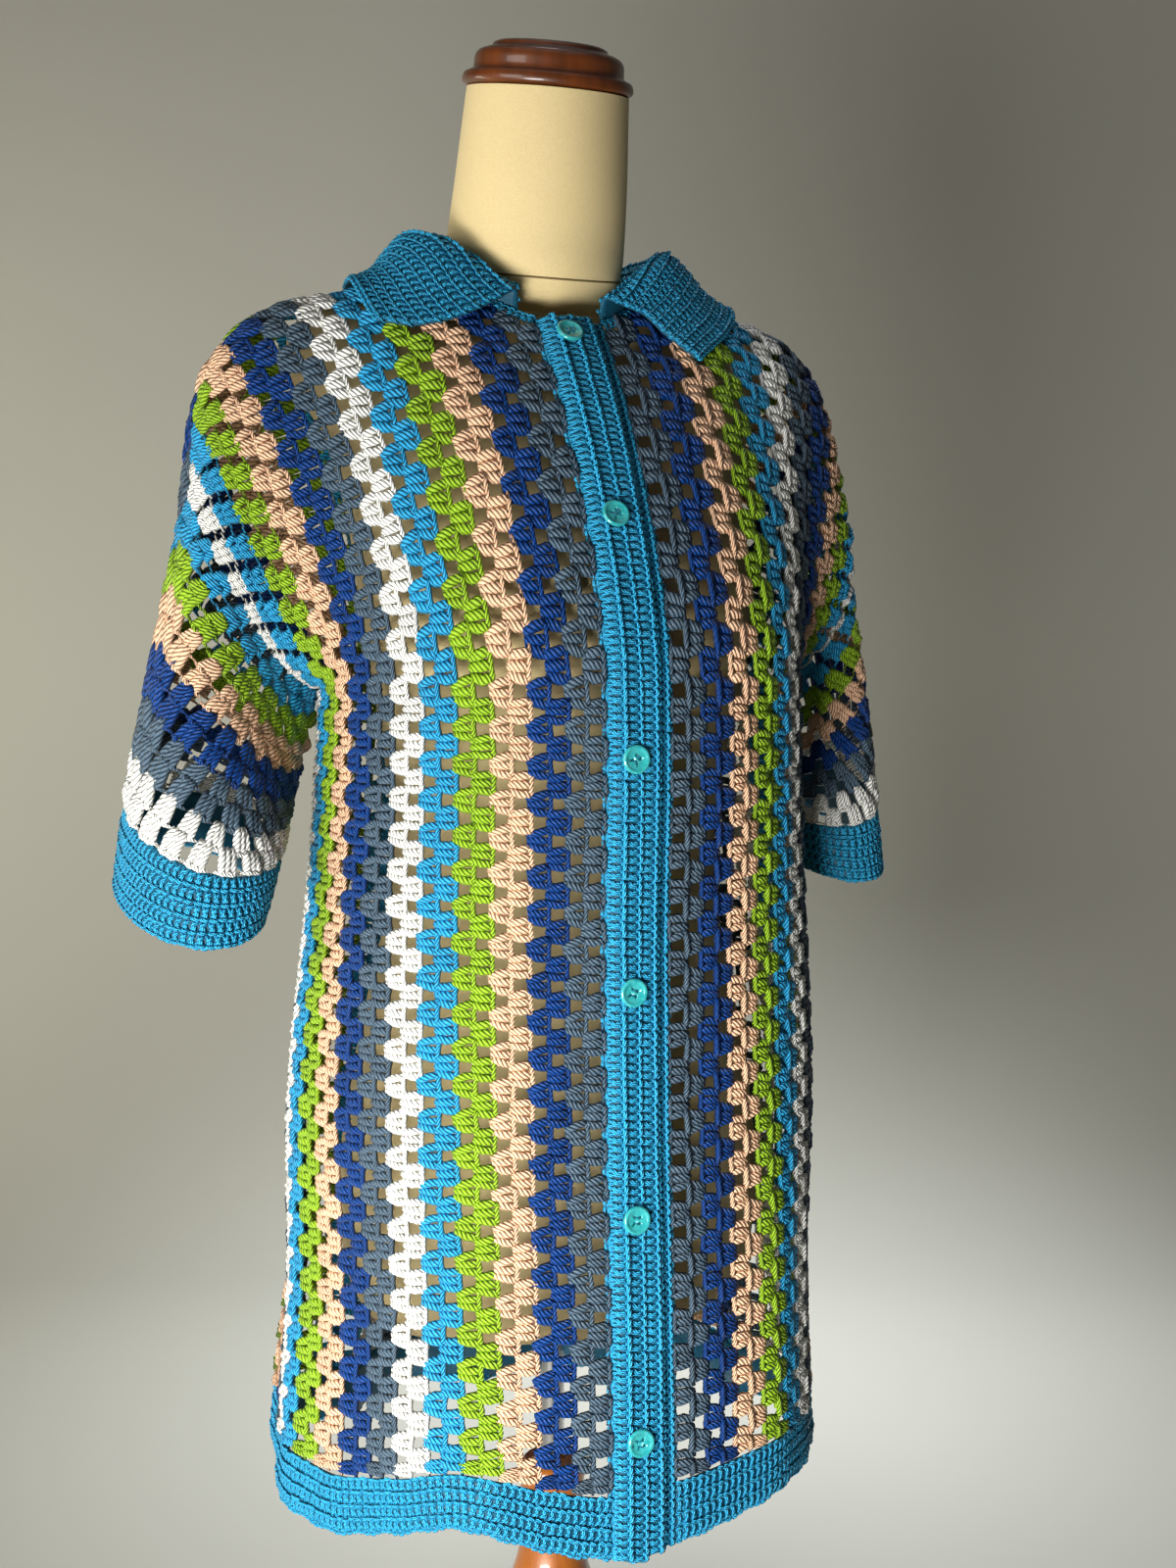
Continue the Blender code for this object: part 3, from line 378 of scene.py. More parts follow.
ArmSeam = namedtuple("ArmSeam", "point panel_out sleeve_out")
_arm_seams = {}


def armhole(side, turn):
    """The armhole's edge: turn 0 under the arm, 1/2 on the ridge, going round by the front."""
    share = 1 - abs(1 - 2 * (turn % 1.0))
    return torso(side, 1.0 if turn % 1.0 <= 0.5 else 1.0 + 1e-6, UNDERARM_T + (1 - UNDERARM_T) * share)


def sleeve_leaves(side, turn):
    """The way in which the sleeve leaves the armhole."""
    outer = (1 - cos(tau * turn)) / 2
    inner_slope = 0.060 if side > 0 else 0.045
    return np.array((side * (inner_slope * (1 - outer) + 0.030 * outer), 0.0, -0.16))


def arm_seam(side, turn):
    """Where the sleeve starts, and the way out of the panel's and the sleeve's wall there.

    Where the two run on into each other they share it. Under the arm they lie face to face, each with its
    own, and the sleeve starts a wall further out.
    """
    turn = round(float(turn % 1.0), 6)
    if (side, turn) in _arm_seams:
        return _arm_seams[side, turn]
    share = 1 - abs(1 - 2 * turn)
    up = UNDERARM_T + (1 - UNDERARM_T) * max(share, 0.03)
    own = 0.5 + 0.5 * ease(min(share, 1 - share), 0.0, 0.12)
    near, far = (0.96, 1.04) if turn <= 0.5 else (1.04, 0.96)
    panel = outward(side, near, up) * own + outward(side, far, up) * (1 - own)
    panel /= np.linalg.norm(panel)
    below = ease(share, 0.0, 0.12)
    panel = panel * below + outward(side, 1.0, UNDERARM_T - 0.02) * (1 - below)
    panel /= np.linalg.norm(panel)
    leave = sleeve_leaves(side, turn)
    leave /= np.linalg.norm(leave)
    sleeve = np.cross(leave, armhole(side, turn + 0.02) - armhole(side, turn - 0.02)) * side
    sleeve /= np.linalg.norm(sleeve)
    runs_on = ease(panel @ sleeve, -0.3, 0.4)
    both = (panel + sleeve) / (np.linalg.norm(panel + sleeve) + 1e-6)
    outs = [n * (1 - runs_on) + both * runs_on for n in (panel, sleeve)]
    outs = [n / np.linalg.norm(n) for n in outs]
    step = panel * (WALL + UNDERARM_GAP) * (1 - runs_on) + leave * 2 * SEAM * runs_on
    _arm_seams[side, turn] = ArmSeam(armhole(side, turn) + step, outs[0], outs[1])
    return _arm_seams[side, turn]


def shared_normal(side, round_at, up):
    """The cloth's way out, which turns into the neighbour's at the shoulder and sleeve seams."""
    n = outward(side, round_at, up)
    to_ridge = ease(up, 0.97, 0.998)
    n = n * (1 - to_ridge) + ridge_normal(side, round_at) * to_ridge if to_ridge > 0 else n
    to_arm = ease(1 - abs(round_at - 1), 0.95, 0.998) if up > UNDERARM_T else 0.0
    if to_arm > 0:
        share = (up - UNDERARM_T) / (1 - UNDERARM_T)
        turn = share / 2 if round_at <= 1 else 1 - share / 2
        n = n * (1 - to_arm) + arm_seam(side, turn).panel_out * to_arm
    return n / np.linalg.norm(n)


def cloth(side, round_at, up, out=0.0):
    """A point of the cloth with its folds, moved out by a distance."""
    point = torso(side, round_at, up)
    n = shared_normal(side, round_at, up)
    return point + n * (fold_depth(side, round_at, point[2]) + out)


def neckline_deep(round_at):
    return NECKLINE_FRONT if round_at <= 1 else NECKLINE_BACK


def inside_neckline(point, deep):
    return ((point[0] / NECKLINE_WIDE) ** 2 + ((point[1] - NECKLINE_Y) / deep) ** 2) < 1


def row_top(side, round_at):
    """How far up a row reaches: the neckline, or the shoulder seam."""
    deep = neckline_deep(round_at)
    seam = 1 - SEAM / path_length(upper_path(side, round_at)) * (1 - UNDERARM_T)
    if not inside_neckline(torso(side, round_at, seam), deep):
        return seam
    low, high = UNDERARM_T, seam
    for _ in range(30):
        middle = (low + high) / 2
        if inside_neckline(torso(side, round_at, middle), deep):
            high = middle
        else:
            low = middle
    return low


def up_to(top, share):
    """Share 0 to 1 of a row's height, squeezed above the underarm so that it ends at the row's top."""
    if share <= UNDERARM_T:
        return share
    return UNDERARM_T + (share - UNDERARM_T) * (top - UNDERARM_T) / (1 - UNDERARM_T)


def cuff_point(side, turn):
    """The rim of a cuff, turned as the sleeve seam is."""
    angle = tau * turn
    cuff = CUFF_LEFT if side > 0 else CUFF_RIGHT
    down = cuff.deep * sin(angle)
    return np.array((side * (cuff.x - cuff.wide * cos(angle)), cuff.y - down, cuff.z - cuff.tilt * down))


def sleeve_point(side, turn, down):
    """The sleeve's middle surface: down 0 at the seam and 1 at the cuff's rim."""
    start = arm_seam(side, turn).point
    end = cuff_point(side, turn)
    outer = (1 - cos(tau * turn)) / 2
    leave = sleeve_leaves(side, turn)
    arrive = np.array((side * (0.060 * (1 - outer) + 0.012 * outer), 0.0, -0.15))
    f = down
    return ((2 * f ** 3 - 3 * f ** 2 + 1) * start + (f ** 3 - 2 * f ** 2 + f) * leave
            + (3 * f ** 2 - 2 * f ** 3) * end + (f ** 3 - f ** 2) * arrive)


def band_point(across, up, out=0.0):
    """A point of the front near its middle: across in metres, to the wearer's left."""
    side = 1 if across >= 0 else -1
    return cloth(side, abs(across) / FRONT_ARC, up, out)


def band_top(across):
    return row_top(1 if across >= 0 else -1, abs(across) / FRONT_ARC)


def upper_lift(across):
    """The upper band leaves its own front at its seam and lies on the lower band."""
    return (WALL + LAYER_GAP) * ease(across, UPPER_BAND[0], UPPER_BAND[0] + BAND_RAMP)


def neckline_at(angle):
    """A point of the neckline seen from above: angle 0 at the front, to pi at the back, for one side."""
    x = NECKLINE_WIDE * sin(angle)
    y = NECKLINE_Y - (NECKLINE_FRONT if cos(angle) > 0 else NECKLINE_BACK) * cos(angle)
    return x, y


def neckline_rim(side):
    """Angles round the neckline and the height of the cloth's highest edge there."""
    angles, heights = [], []
    for round_at in [*NECK_COLUMNS, *NECK_BACK_COLUMNS]:
        points = [cloth(side, round_at, row_top(side, round_at), out) for out in (-WALL / 2, 0.0, WALL / 2)]
        x, y = abs(points[1][0]), points[1][1]
        angles.append(np.arctan2(x / NECKLINE_WIDE, (NECKLINE_Y - y) / neckline_deep(round_at)))
        heights.append(max(p[2] for p in points))
    angles, heights = np.array(angles), np.array(heights)
    steep = np.abs(np.gradient(heights, angles)) / NECKLINE_WIDE
    return angles, heights + RIM_CLEAR * steep


def cloth_samples(side):
    """Points of the cloth's outer face round the neck and on the shoulder, for the collar to lie on."""
    points = []
    for round_at in [*np.linspace(0.0, 0.9, 30), *np.linspace(1.1, 2.0, 30)]:
        top = row_top(side, round_at)
        for share in np.linspace(0.78, 1.0, 30):
            points.append(cloth(side, round_at, up_to(top, share), WALL / 2))
    return np.abs(np.array(points)) * (1, 0, 1) + np.array(points) * (0, 1, 0)


def height_on(samples, x, y):
    """The height of the cloth's outer face at a place seen from above, on a plane through its top samples."""
    away = (samples[:, 0] - abs(x)) ** 2 + (samples[:, 1] - y) ** 2
    near = samples[away < max(0.014, 1.6 * np.sqrt(away.min())) ** 2]
    near = near[near[:, 2] > near[:, 2].max() - 0.020]
    run = np.stack((near[:, 0] - abs(x), near[:, 1] - y, np.ones(len(near))), axis=1)
    weight = 1 / (run[:, 0] ** 2 + run[:, 1] ** 2 + 1e-5)
    steady = np.diag((2e-1, 2e-1, 0.0))
    left = (run * weight[:, None]).T @ run + steady
    return float(np.linalg.solve(left, (run * weight[:, None]).T @ near[:, 2])[2])


def leaf_of(side):
    return LEAF_LEFT if side > 0 else LEAF_RIGHT


def collar_run(samples, rim, side, angle):
    """The collar's middle line at one place round the neck, from its seam over the fold to its edge."""
    x0, y0 = neckline_at(angle)
    base = float(np.interp(angle, *rim)) + 2 * SEAM
    leaf = leaf_of(side)
    share = (angle - leaf.start) / (pi - leaf.start)
    height = STAND_HEIGHT * (STAND_SHARE + (1 - STAND_SHARE) * ease(share, 0.0, 0.25))
    reach = leaf.tip + (leaf.side - leaf.tip) * ease(share, 0.0, FRONT_REACH)
    reach += (LEAF_BACK - reach) * ease(share, 0.5, 1.0)
    out = np.array((sin(angle), -cos(angle)))
    lean = FOLD_LEAN * ease(share, 0.0, 0.4)
    line = [(x0, y0, base), (x0 + out[0] * lean * 0.45, y0 + out[1] * lean * 0.45, base + height * 0.5)]
    for step in range(FOLD_STEPS):
        turn = pi * (0.05 + step / FOLD_STEPS)
        away = lean + FOLD_RADIUS * (1 - cos(turn))
        top = base + height - FOLD_RADIUS + FOLD_RADIUS * sin(turn)
        line.append((x0 + out[0] * away, y0 + out[1] * away, top))
    fold = line[-1]
    swing = leaf.swing * (1 - share) ** 1.6
    for f in np.arange(1, FOLD_STEPS + 1) / FOLD_STEPS:
        turned_angle = angle + swing * f ** leaf.early
        nx, ny = neckline_at(turned_angle)
        away = lean + 2 * FOLD_RADIUS + (reach - lean - 2 * FOLD_RADIUS) * f
        x, y = nx + sin(turned_angle) * away, ny - cos(turned_angle) * away
        on_crest = exp(-((y - RIDGE_Y) / CREST_WIDTH) ** 2)
        rest = height_on(samples, x, y) + COLLAR_WALL / 2 + LEAF_LIFT + CREST_LIFT * on_crest
        rest += (fold[2] - height_on(samples, fold[0], fold[1])) * (1 - f) ** 2.6
        hanging = fold[2] - 0.9 * LEAF_WIDTH * f
        at_back = ease(share, HANG_FROM, HANG_TO)
        line.append((x, y, max(rest, rest * (1 - at_back) + hanging * at_back)))
    return [(side * x, y, z) for x, y, z in line]


# Colours, as sRGB hex values

HEX = {
    "turquoise": "#2795C4", "white": "#E5E4DC", "slate": "#4A5D6C", "navy": "#05387A",
    "peach": "#E4B894", "green": "#8AAF22", "linen": "#DFCC98", "linen_shade": "#C9AE78",
    "cap_wood": "#7C3C0B", "cap_wood_dark": "#2E1506", "stand_wood": "#B36A1E",
    "stand_wood_dark": "#7A3C0E", "button": "#179396", "button_light": "#4FBDBB", "wall": "#ABA99E",
    "seam": "#6E5A34", "edging": "#2DA8D6",
}
# edging is the turquoise yarn again, painted paler: painted light
YARNS = ("turquoise", "white", "slate", "navy", "peach", "green", "edging")


def linear(hex_value):
    """Linear red, green and blue of an sRGB hex value."""
    parts = [int(hex_value[i:i + 2], 16) / 255 for i in (1, 3, 5)]
    return tuple(p / 12.92 if p <= 0.04045 else ((p + 0.055) / 1.055) ** 2.4 for p in parts)


def colour_property(name, key):
    return FloatVectorProperty(name=name, description=f"Colour of the {name.lower()}", subtype="COLOR",
                               default=linear(HEX[key]), min=0, max=1)


class YarnColours(bpy.types.PropertyGroup):
    """Colours of the six yarns, and of the turquoise one in the plain edgings, painted paler there as painted
    light.
    """
    turquoise: colour_property("Turquoise yarn", "turquoise")
    white: colour_property("White yarn", "white")
    slate: colour_property("Slate yarn", "slate")
    navy: colour_property("Navy yarn", "navy")
    peach: colour_property("Peach yarn", "peach")
    green: colour_property("Green yarn", "green")
    edging: colour_property("Edging yarn", "edging")


class CrochetSizes(bpy.types.PropertyGroup):
    """Sizes of the crochet."""
    unevenness: FloatProperty(name="Unevenness", description="How far a stitch may be turned by hand",
                              default=radians(5), min=0, subtype="ANGLE")
    fullness: FloatProperty(name="Fullness", description="How thick the yarn is against its usual thickness",
                            default=1.0, min=0.5, max=1.3)
    backing: FloatProperty(name="Backing", description="Thickness of the cloth between the plain stitches",
                           default=0.0016, min=0.001, max=0.003, subtype="DISTANCE", unit="LENGTH")
    seed: IntProperty(name="Seed", description="Which run of small irregularities the stitches have",
                      default=11, min=0)


class StandColours(bpy.types.PropertyGroup):
    """Colours of the dress form, its stand and the buttons."""
    linen: colour_property("Linen", "linen")
    cap_wood: colour_property("Cap wood", "cap_wood")
    stand_wood: colour_property("Stand wood", "stand_wood")
    button: colour_property("Buttons", "button")


class StudioSizes(bpy.types.PropertyGroup):
    """Camera and light of the studio."""
    distance: FloatProperty(name="Distance", description="From the camera to the form's axis",
                            default=1.288, min=0.5, subtype="DISTANCE", unit="LENGTH")
    eye_height: FloatProperty(name="Eye height", description="Height of the camera above the floor",
                              default=0.76, min=0, subtype="DISTANCE", unit="LENGTH")
    azimuth: FloatProperty(name="Azimuth", description="How far the camera stands to the wearer's right",
                           default=radians(23), subtype="ANGLE")
    window_power: FloatProperty(name="Window", description="Power of the soft light from the left",
                                default=19.5, min=0, unit="POWER")
    low_power: FloatProperty(name="Low window", description="Power of the light from low in front",
                             default=18.5, min=0, unit="POWER")
    fill_power: FloatProperty(name="Fill", description="Power of the weak light from the right",
                              default=0.4, min=0, unit="POWER")


# Materials

def feed(node, inputs):
    """Give each input of a node its value, or link it to the socket that feeds it."""
    for key, value in inputs.items():
        if isinstance(value, bpy.types.NodeSocket):
            node.id_data.links.new(value, node.inputs[key])
        else:
            node.inputs[key].default_value = value


def add(tree, kind, inputs, out=0, **settings):
    """Add a node with its settings, values and links, and give one of its outputs."""
    made = tree.nodes.new(kind)
    for key, value in settings.items():
        setattr(made, key, value)
    feed(made, inputs)
    return made.outputs[out]


def total(tree, start, *parts):
    """The start value plus each part's value times its weight."""
    for value, weight in parts:
        start = add(tree, "ShaderNodeMath", {0: value, 1: weight, 2: start}, operation="MULTIPLY_ADD")
    return start


def opaque(colour, factor=1.0):
    return (*[min(c * factor, 1.0) for c in colour], 1.0)


def finish_of(name, shader_inputs):
    """A new material with its shader, whose values are set on its own sockets."""
    made = bpy.data.materials.new(name)
    made.use_nodes = True
    shader = made.node_tree.nodes["Principled BSDF"]
    feed(shader, shader_inputs)
    return made, made.node_tree, shader


def dress(shader, light, dark, pale, height=None, strength=0.0, distance=0.0):
    """Colour a shader between dark and pale as light says, and raise its surface as height says."""
    tree = shader.id_data
    look = add(tree, "ShaderNodeMix", {0: light, 6: dark, 7: pale}, 2, data_type="RGBA")
    feed(shader, {"Base Color": look})
    if height is not None:
        bump = {"Strength": strength, "Distance": distance, "Height": height}
        feed(shader, {"Normal": add(tree, "ShaderNodeBump", bump)})


PLIES = 4.0               # strands round a treble
LAY = 0.85                # turns of a strand in 10 mm, which gives a strand each 2.9 mm
LIT_STRAND = 1.12         # painted highlight: how much paler a lit strand is painted than its yarn
TONE_SPREAD = 0.30        # how far stitches differ, and patches of cloth


def yarn_finish(name, colour, shade):
    """Mercerised cotton: slanted strands with grooves in painted shade as dark as shade says, fine fibres and
    a soft gloss.
    """
    made, tree, shader = finish_of(name, {"Roughness": 0.42, "Sheen Weight": 0.02, "Sheen Roughness": 0.5,
                                          "Specular IOR Level": 0.3, "IOR": 1.46})
    turn = add(tree, "ShaderNodeSeparateXYZ", {0: add(tree, "ShaderNodeUVMap", {}, uv_map="yarn")})
    length = turn.node.outputs[1]
    wound = total(tree, 0.0, (length, LAY * PLIES * tau / 2), (turn, PLIES * tau / 2))
    wave = add(tree, "ShaderNodeMath", {0: wound}, operation="SINE")
    wave = add(tree, "ShaderNodeMath", {0: wave}, operation="ABSOLUTE")
    strand = add(tree, "ShaderNodeMath", {0: wave, 1: 0.55}, operation="POWER")
    there = add(tree, "ShaderNodeTexCoord", {}, "Object")
    fibres = add(tree, "ShaderNodeTexNoise", {"Vector": there, "Scale": 1400.0, "Detail": 2.0})
    patches = add(tree, "ShaderNodeTexNoise", {"Vector": there, "Scale": 55.0, "Detail": 2.0})
    tone = add(tree, "ShaderNodeAttribute", {}, "Fac", attribute_name="tone")
    light = total(tree, -0.77, (fibres, 0.50), (strand, 1.35), (tone, TONE_SPREAD), (patches, TONE_SPREAD))
    # painted light: the colour runs from painted shade in the grooves to painted lit strands, with random
    # tone and patches between
    dress(shader, light, opaque(colour, shade), opaque(colour, LIT_STRAND),
          total(tree, strand, (fibres, 0.25)), 1.0, 0.0012)
    return made


def linen_finish(colour):
    """Linen stretched over foam: a fine diagonal twill in a pale and a darker thread, quite matt."""
    made, tree, shader = finish_of("linen twill", {"Roughness": 0.85, "Sheen Weight": 0.08, "IOR": 1.45})
    there = add(tree, "ShaderNodeTexCoord", {}, "Object")
    slanted = add(tree, "ShaderNodeMapping", {"Vector": there, "Rotation": (0.0, radians(38), 0.0)})
    # 1.1 mm from rib to rib, about twice the real twill, which is too fine to show
    twill = {"Vector": slanted, "Scale": 285.0, "Distortion": 1.2, "Detail": 1.0}
    ribs = add(tree, "ShaderNodeTexWave", twill, "Fac", bands_direction="Z", wave_profile="SIN")
    threads = add(tree, "ShaderNodeTexNoise", {"Vector": there, "Scale": 620.0, "Detail": 3.0})
    patches = add(tree, "ShaderNodeTexNoise", {"Vector": there, "Scale": 9.0, "Detail": 3.0})
    light = total(tree, 0.0, (threads, 0.5), (ribs, 0.30), (patches, 0.35))
    dress(shader, light, opaque(linear(HEX["linen_shade"])), opaque(colour, 1.08),
          total(tree, ribs, (threads, 0.5)), 0.35, 0.0003)
    return made


def wood_finish(name, pale, dark, coat):
    """Turned hardwood under gloss varnish: grain along the turning axis, darker streaks, a clear coat."""
    made, tree, shader = finish_of(name, {"Roughness": 0.38, "Coat Weight": coat, "Coat Roughness": 0.08,
                                          "IOR": 1.5})
    there = add(tree, "ShaderNodeTexCoord", {}, "Object")
    drawn = add(tree, "ShaderNodeMapping", {"Vector": there, "Scale": (1.0, 1.0, 0.09)})
    grain = add(tree, "ShaderNodeTexNoise", {"Vector": drawn, "Scale": 190.0, "Detail": 4.0,
                                             "Roughness": 0.6})
    streaks = add(tree, "ShaderNodeTexNoise", {"Vector": drawn, "Scale": 36.0, "Detail": 3.0,
                                               "Distortion": 0.8})
    light = total(tree, -0.55, (grain, 0.7), (streaks, 1.3))
    dress(shader, light, opaque(dark), opaque(pale), grain, 0.08, 0.0002)
    return made


def chrome_finish():
    """Chromium on steel tube: a clear mirror, with faint marks of handling in its roughness."""
    made, tree, shader = finish_of("polished chrome", {"Base Color": (0.72, 0.73, 0.75, 1.0),
                                                       "Metallic": 1.0})
    there = add(tree, "ShaderNodeTexCoord", {}, "Object")
    marks = add(tree, "ShaderNodeTexNoise", {"Vector": there, "Scale": 60.0, "Detail": 4.0})
    feed(shader, {"Roughness": total(tree, 0.04, (marks, 0.12))})
    return made


def pearl_finish(colour):
    """Pearly polyester, cast and polished: pale clouds in turquoise under a clear gloss."""
    made, tree, shader = finish_of("pearly polyester", {"Roughness": 0.16, "Coat Weight": 1.0,
                                                        "Coat Roughness": 0.05, "IOR": 1.55,
                                                        "Subsurface Weight": 0.15, "Subsurface Scale": 0.002})
    there = add(tree, "ShaderNodeTexCoord", {}, "Object")
    clouds = add(tree, "ShaderNodeTexNoise", {"Vector": there, "Scale": 210.0, "Detail": 2.0,
                                              "Distortion": 1.5})
    dress(shader, total(tree, -0.45, (clouds, 1.6)), opaque(colour), opaque(linear(HEX["button_light"])))
    return made


def wall_finish():
    """Matt wall paint with faint cloudiness."""
    made, tree, shader = finish_of("matt wall paint", {"Roughness": 0.9})
    there = add(tree, "ShaderNodeTexCoord", {}, "Object")
    clouds = add(tree, "ShaderNodeTexNoise", {"Vector": there, "Scale": 1.2, "Detail": 2.0})
    wall = linear(HEX["wall"])
    dress(shader, clouds, opaque(wall, 0.94), opaque(wall, 1.06))
    return made


made_materials = {}


def finish(name, *values):
    """The material of that name, made when a piece first asks for it."""
    if name not in made_materials:
        makers = {"linen": linen_finish, "chrome": chrome_finish, "pearl": pearl_finish, "wall": wall_finish}
        made_materials[name] = makers[name](*values)
    return made_materials[name]


# Painted shade: how dark each yarn is painted in its grooves against its lit strands
YARN_SHADE = {"turquoise": 0.20, "white": 0.50, "slate": 0.20, "navy": 0.12, "peach": 0.36, "green": 0.21,
              "edging": 0.20}


def yarn_materials():
    """The yarns, in the order of YARNS."""
    colours = bpy.context.scene.cardigan_yarns
    for name in YARNS:
        if name not in made_materials:
            colour = tuple(getattr(colours, name))
            made_materials[name] = yarn_finish(f"{name} cotton yarn", colour, YARN_SHADE[name])
    return [made_materials[name] for name in YARNS]


# Meshes

def mesh_object(name, points, faces, material=None, places=None):
    """An object at the origin. places is the yarn map: turn and length at each corner of each face."""
    mesh = bpy.data.meshes.new(name)
    mesh.from_pydata([tuple(map(float, p)) for p in points], [], faces)
    if places is not None:
        layer = mesh.uv_layers.new(name="yarn")
        layer.data.foreach_set("uv", np.array(places, dtype=np.float32).ravel())
    if material:
        mesh.materials.append(material)
    mesh.shade_smooth()
    made = bpy.data.objects.new(name, mesh)
    bpy.context.collection.objects.link(made)
    return made


CLOSING_LENGTH = 0.2      # of a ring's last stretch on the yarn map, in centimetres


class Yarn:
    """Yarn tubes that are gathered into one mesh."""

    def __init__(self):
        self.points, self.faces, self.places = [], [], []

    def tube(self, path, radii, sides, closed=False, phase=0.0):
        """Lay a tube along a path. It is round, with its own radius at each point of the path."""
        path = np.array(path, dtype=float)
        radii = np.broadcast_to(radii, len(path))
        if closed:
            ahead = np.roll(path, -1, axis=0) - np.roll(path, 1, axis=0)
        else:
            ahead = np.gradient(path, axis=0)
        ahead /= np.linalg.norm(ahead, axis=1)[:, None]
        level = np.cross(ahead, (0.0, 0.0, 1.0))
        level /= np.linalg.norm(level, axis=1)[:, None] + 1e-12
        raised = np.cross(level, ahead)
        first = len(self.points)
        angles = tau * (np.arange(sides) + phase) / sides
        for centre, radius, one, other in zip(path, radii, level, raised):
            for angle in angles:
                self.points.append(centre + radius * (cos(angle) * one + sin(angle) * other))
        lengths = np.concatenate(([0.0], np.cumsum(np.linalg.norm(np.diff(path, axis=0), axis=1)))) * 100
        rings = len(path)
        for ring in range(rings if closed else rings - 1):
            after = (ring + 1) % rings
            start, end = lengths[ring], lengths[after] if after else lengths[ring] + CLOSING_LENGTH
            for side in range(sides):
                a, b = first + ring * sides, first + after * sides
                other = (side + 1) % sides
                self.faces.append((a + side, b + side, b + other, a + other))
                turn, next_turn = side / sides, (side + 1) / sides
                self.places += [(turn, start), (turn, end), (next_turn, end), (next_turn, start)]
        if not closed:
            last = first + (rings - 1) * sides
            self.faces.append(tuple(first + side for side in range(sides)))
            self.places += [(0.5, 0.0)] * sides
            self.faces.append(tuple(last + side for side in reversed(range(sides))))
            self.places += [(0.5, lengths[-1])] * sides

    def object(self, name, material=None):
        return mesh_object(name, self.points, self.faces, material, self.places)


class Net:
    """A dense net of points on a piece's middle surface, which stitches are set out on.

    Its first axis, s, follows the rows of stitches and its second, t, goes from row to row.
    """

    def __init__(self, points, side=1):
        self.points = np.array(points, dtype=float)
        rows, columns = self.points.shape[:2]
        self.by_s = np.gradient(self.points, axis=0) * (rows - 1)
        self.by_t = np.gradient(self.points, axis=1) * (columns - 1)
        out = np.cross(self.by_s, self.by_t) * side
        self.out = out / (np.linalg.norm(out, axis=2)[:, :, None] + 1e-12)

    def read(self, layer, s, t):
        """A layer of the net at places between its points."""
        rows, columns = self.points.shape[:2]
        i = np.clip(np.asarray(s) * (rows - 1), 0, rows - 1.000001)
        j = np.clip(np.asarray(t) * (columns - 1), 0, columns - 1.000001)
        i0, j0 = i.astype(int), j.astype(int)
        fi, fj = (i - i0)[:, None], (j - j0)[:, None]
        return ((layer[i0, j0] * (1 - fi) + layer[i0 + 1, j0] * fi) * (1 - fj)
                + (layer[i0, j0 + 1] * (1 - fi) + layer[i0 + 1, j0 + 1] * fi) * fj)

    def places(self, s, t, row_span, stitch_span, toward=1):
        """Where stitches lie and how big they are, from their spans in s and t.

        toward is 1 or -1 as the stitches' tops point to higher or lower t. They stand square on their row.
        """
        centre, out = self.read(self.points, s, t), self.read(self.out, s, t)
        by_s, by_t = self.read(self.by_s, s, t), self.read(self.by_t, s, t)
        out /= np.linalg.norm(out, axis=1)[:, None]
        run = np.linalg.norm(by_s, axis=1)
        across = np.cross(out, by_s / run[:, None])
        tall = (by_t * across).sum(axis=1)
        to_top = across * np.sign(tall)[:, None] * toward
        return {"centre": centre, "way_out": out, "to_top": to_top, "width": run * row_span,
                "height": np.abs(tall) * stitch_span}

    def sheet(self, name, thickness, material):
        """A closed thin cloth on the net, between half its thickness out and half in."""
        rows, columns = self.points.shape[:2]
        outer = self.points + self.out * (thickness / 2)
        inner = self.points - self.out * (thickness / 2)
        points = list(outer.reshape(-1, 3)) + list(inner.reshape(-1, 3))
        shift = rows * columns
        faces = []
        for i in range(rows - 1):
            for j in range(columns - 1):
                corner = i * columns + j
                cell = (corner, corner + columns, corner + columns + 1, corner + 1)
                faces += [cell, tuple(shift + k for k in reversed(cell))]
        edge = list(range(columns))
        edge += [i * columns + columns - 1 for i in range(1, rows)]
        edge += [(rows - 1) * columns + j for j in range(columns - 2, -1, -1)]
        edge += [i * columns for i in range(rows - 2, 0, -1)]
        for a, b in zip(edge, edge[1:] + edge[:1]):
            faces.append((a, b, shift + b, shift + a))
        made = mesh_object(name, points, faces, material)
        recalculate(made)
        return made


def recalculate(piece):
    """Point all faces of a closed mesh outwards."""
    work = bmesh.new()
    work.from_mesh(piece.data)
    bmesh.ops.remove_doubles(work, verts=work.verts, dist=1e-6)
    bmesh.ops.recalc_face_normals(work, faces=work.faces)
    work.to_mesh(piece.data)
    work.free()
    piece.data.shade_smooth()


# Stitches

CLUSTER_PITCH = 0.022     # a cluster with the space beside it
CLUSTER_HEIGHT = 0.0111   # a row of clusters
STITCH_PITCH = 0.005
STITCH_HEIGHT = 0.009
EDGE_PITCH = 0.0046
SQUARE, FAN, BRAIDED = 0, 2, 4    # the kinds of cluster; the first two come in two variants
POST_RADIUS = 0.0027
UNEVEN = 0.00025          # how far hand work puts a post beside its place


def cluster(name, base_spread, top_spread, seed, girth_of_all=1.0):
    """Three trebles worked side by side into one space."""
    luck = np.random.default_rng(seed)
    full = bpy.context.scene.cardigan_crochet.fullness * girth_of_all
    yarn = Yarn()
    for post in (-1, 0, 1):
        path, radii = [], []
        for f, girth in zip((0.0, 0.22, 0.5, 0.78, 1.0), (0.80, 1.0, 1.06, 1.02, 0.82)):
            x = post * (base_spread + (top_spread - base_spread) * f ** 0.8) + luck.normal(0, UNEVEN)
            z = 0.0003 + 0.0011 * sin(pi * f) + luck.normal(0, UNEVEN)
            path.append((x, -0.0074 + 0.0130 * f, z))
            radii.append(POST_RADIUS * girth * full)
        yarn.tube(path, radii, 5, phase=luck.random())
    return yarn.object(name)


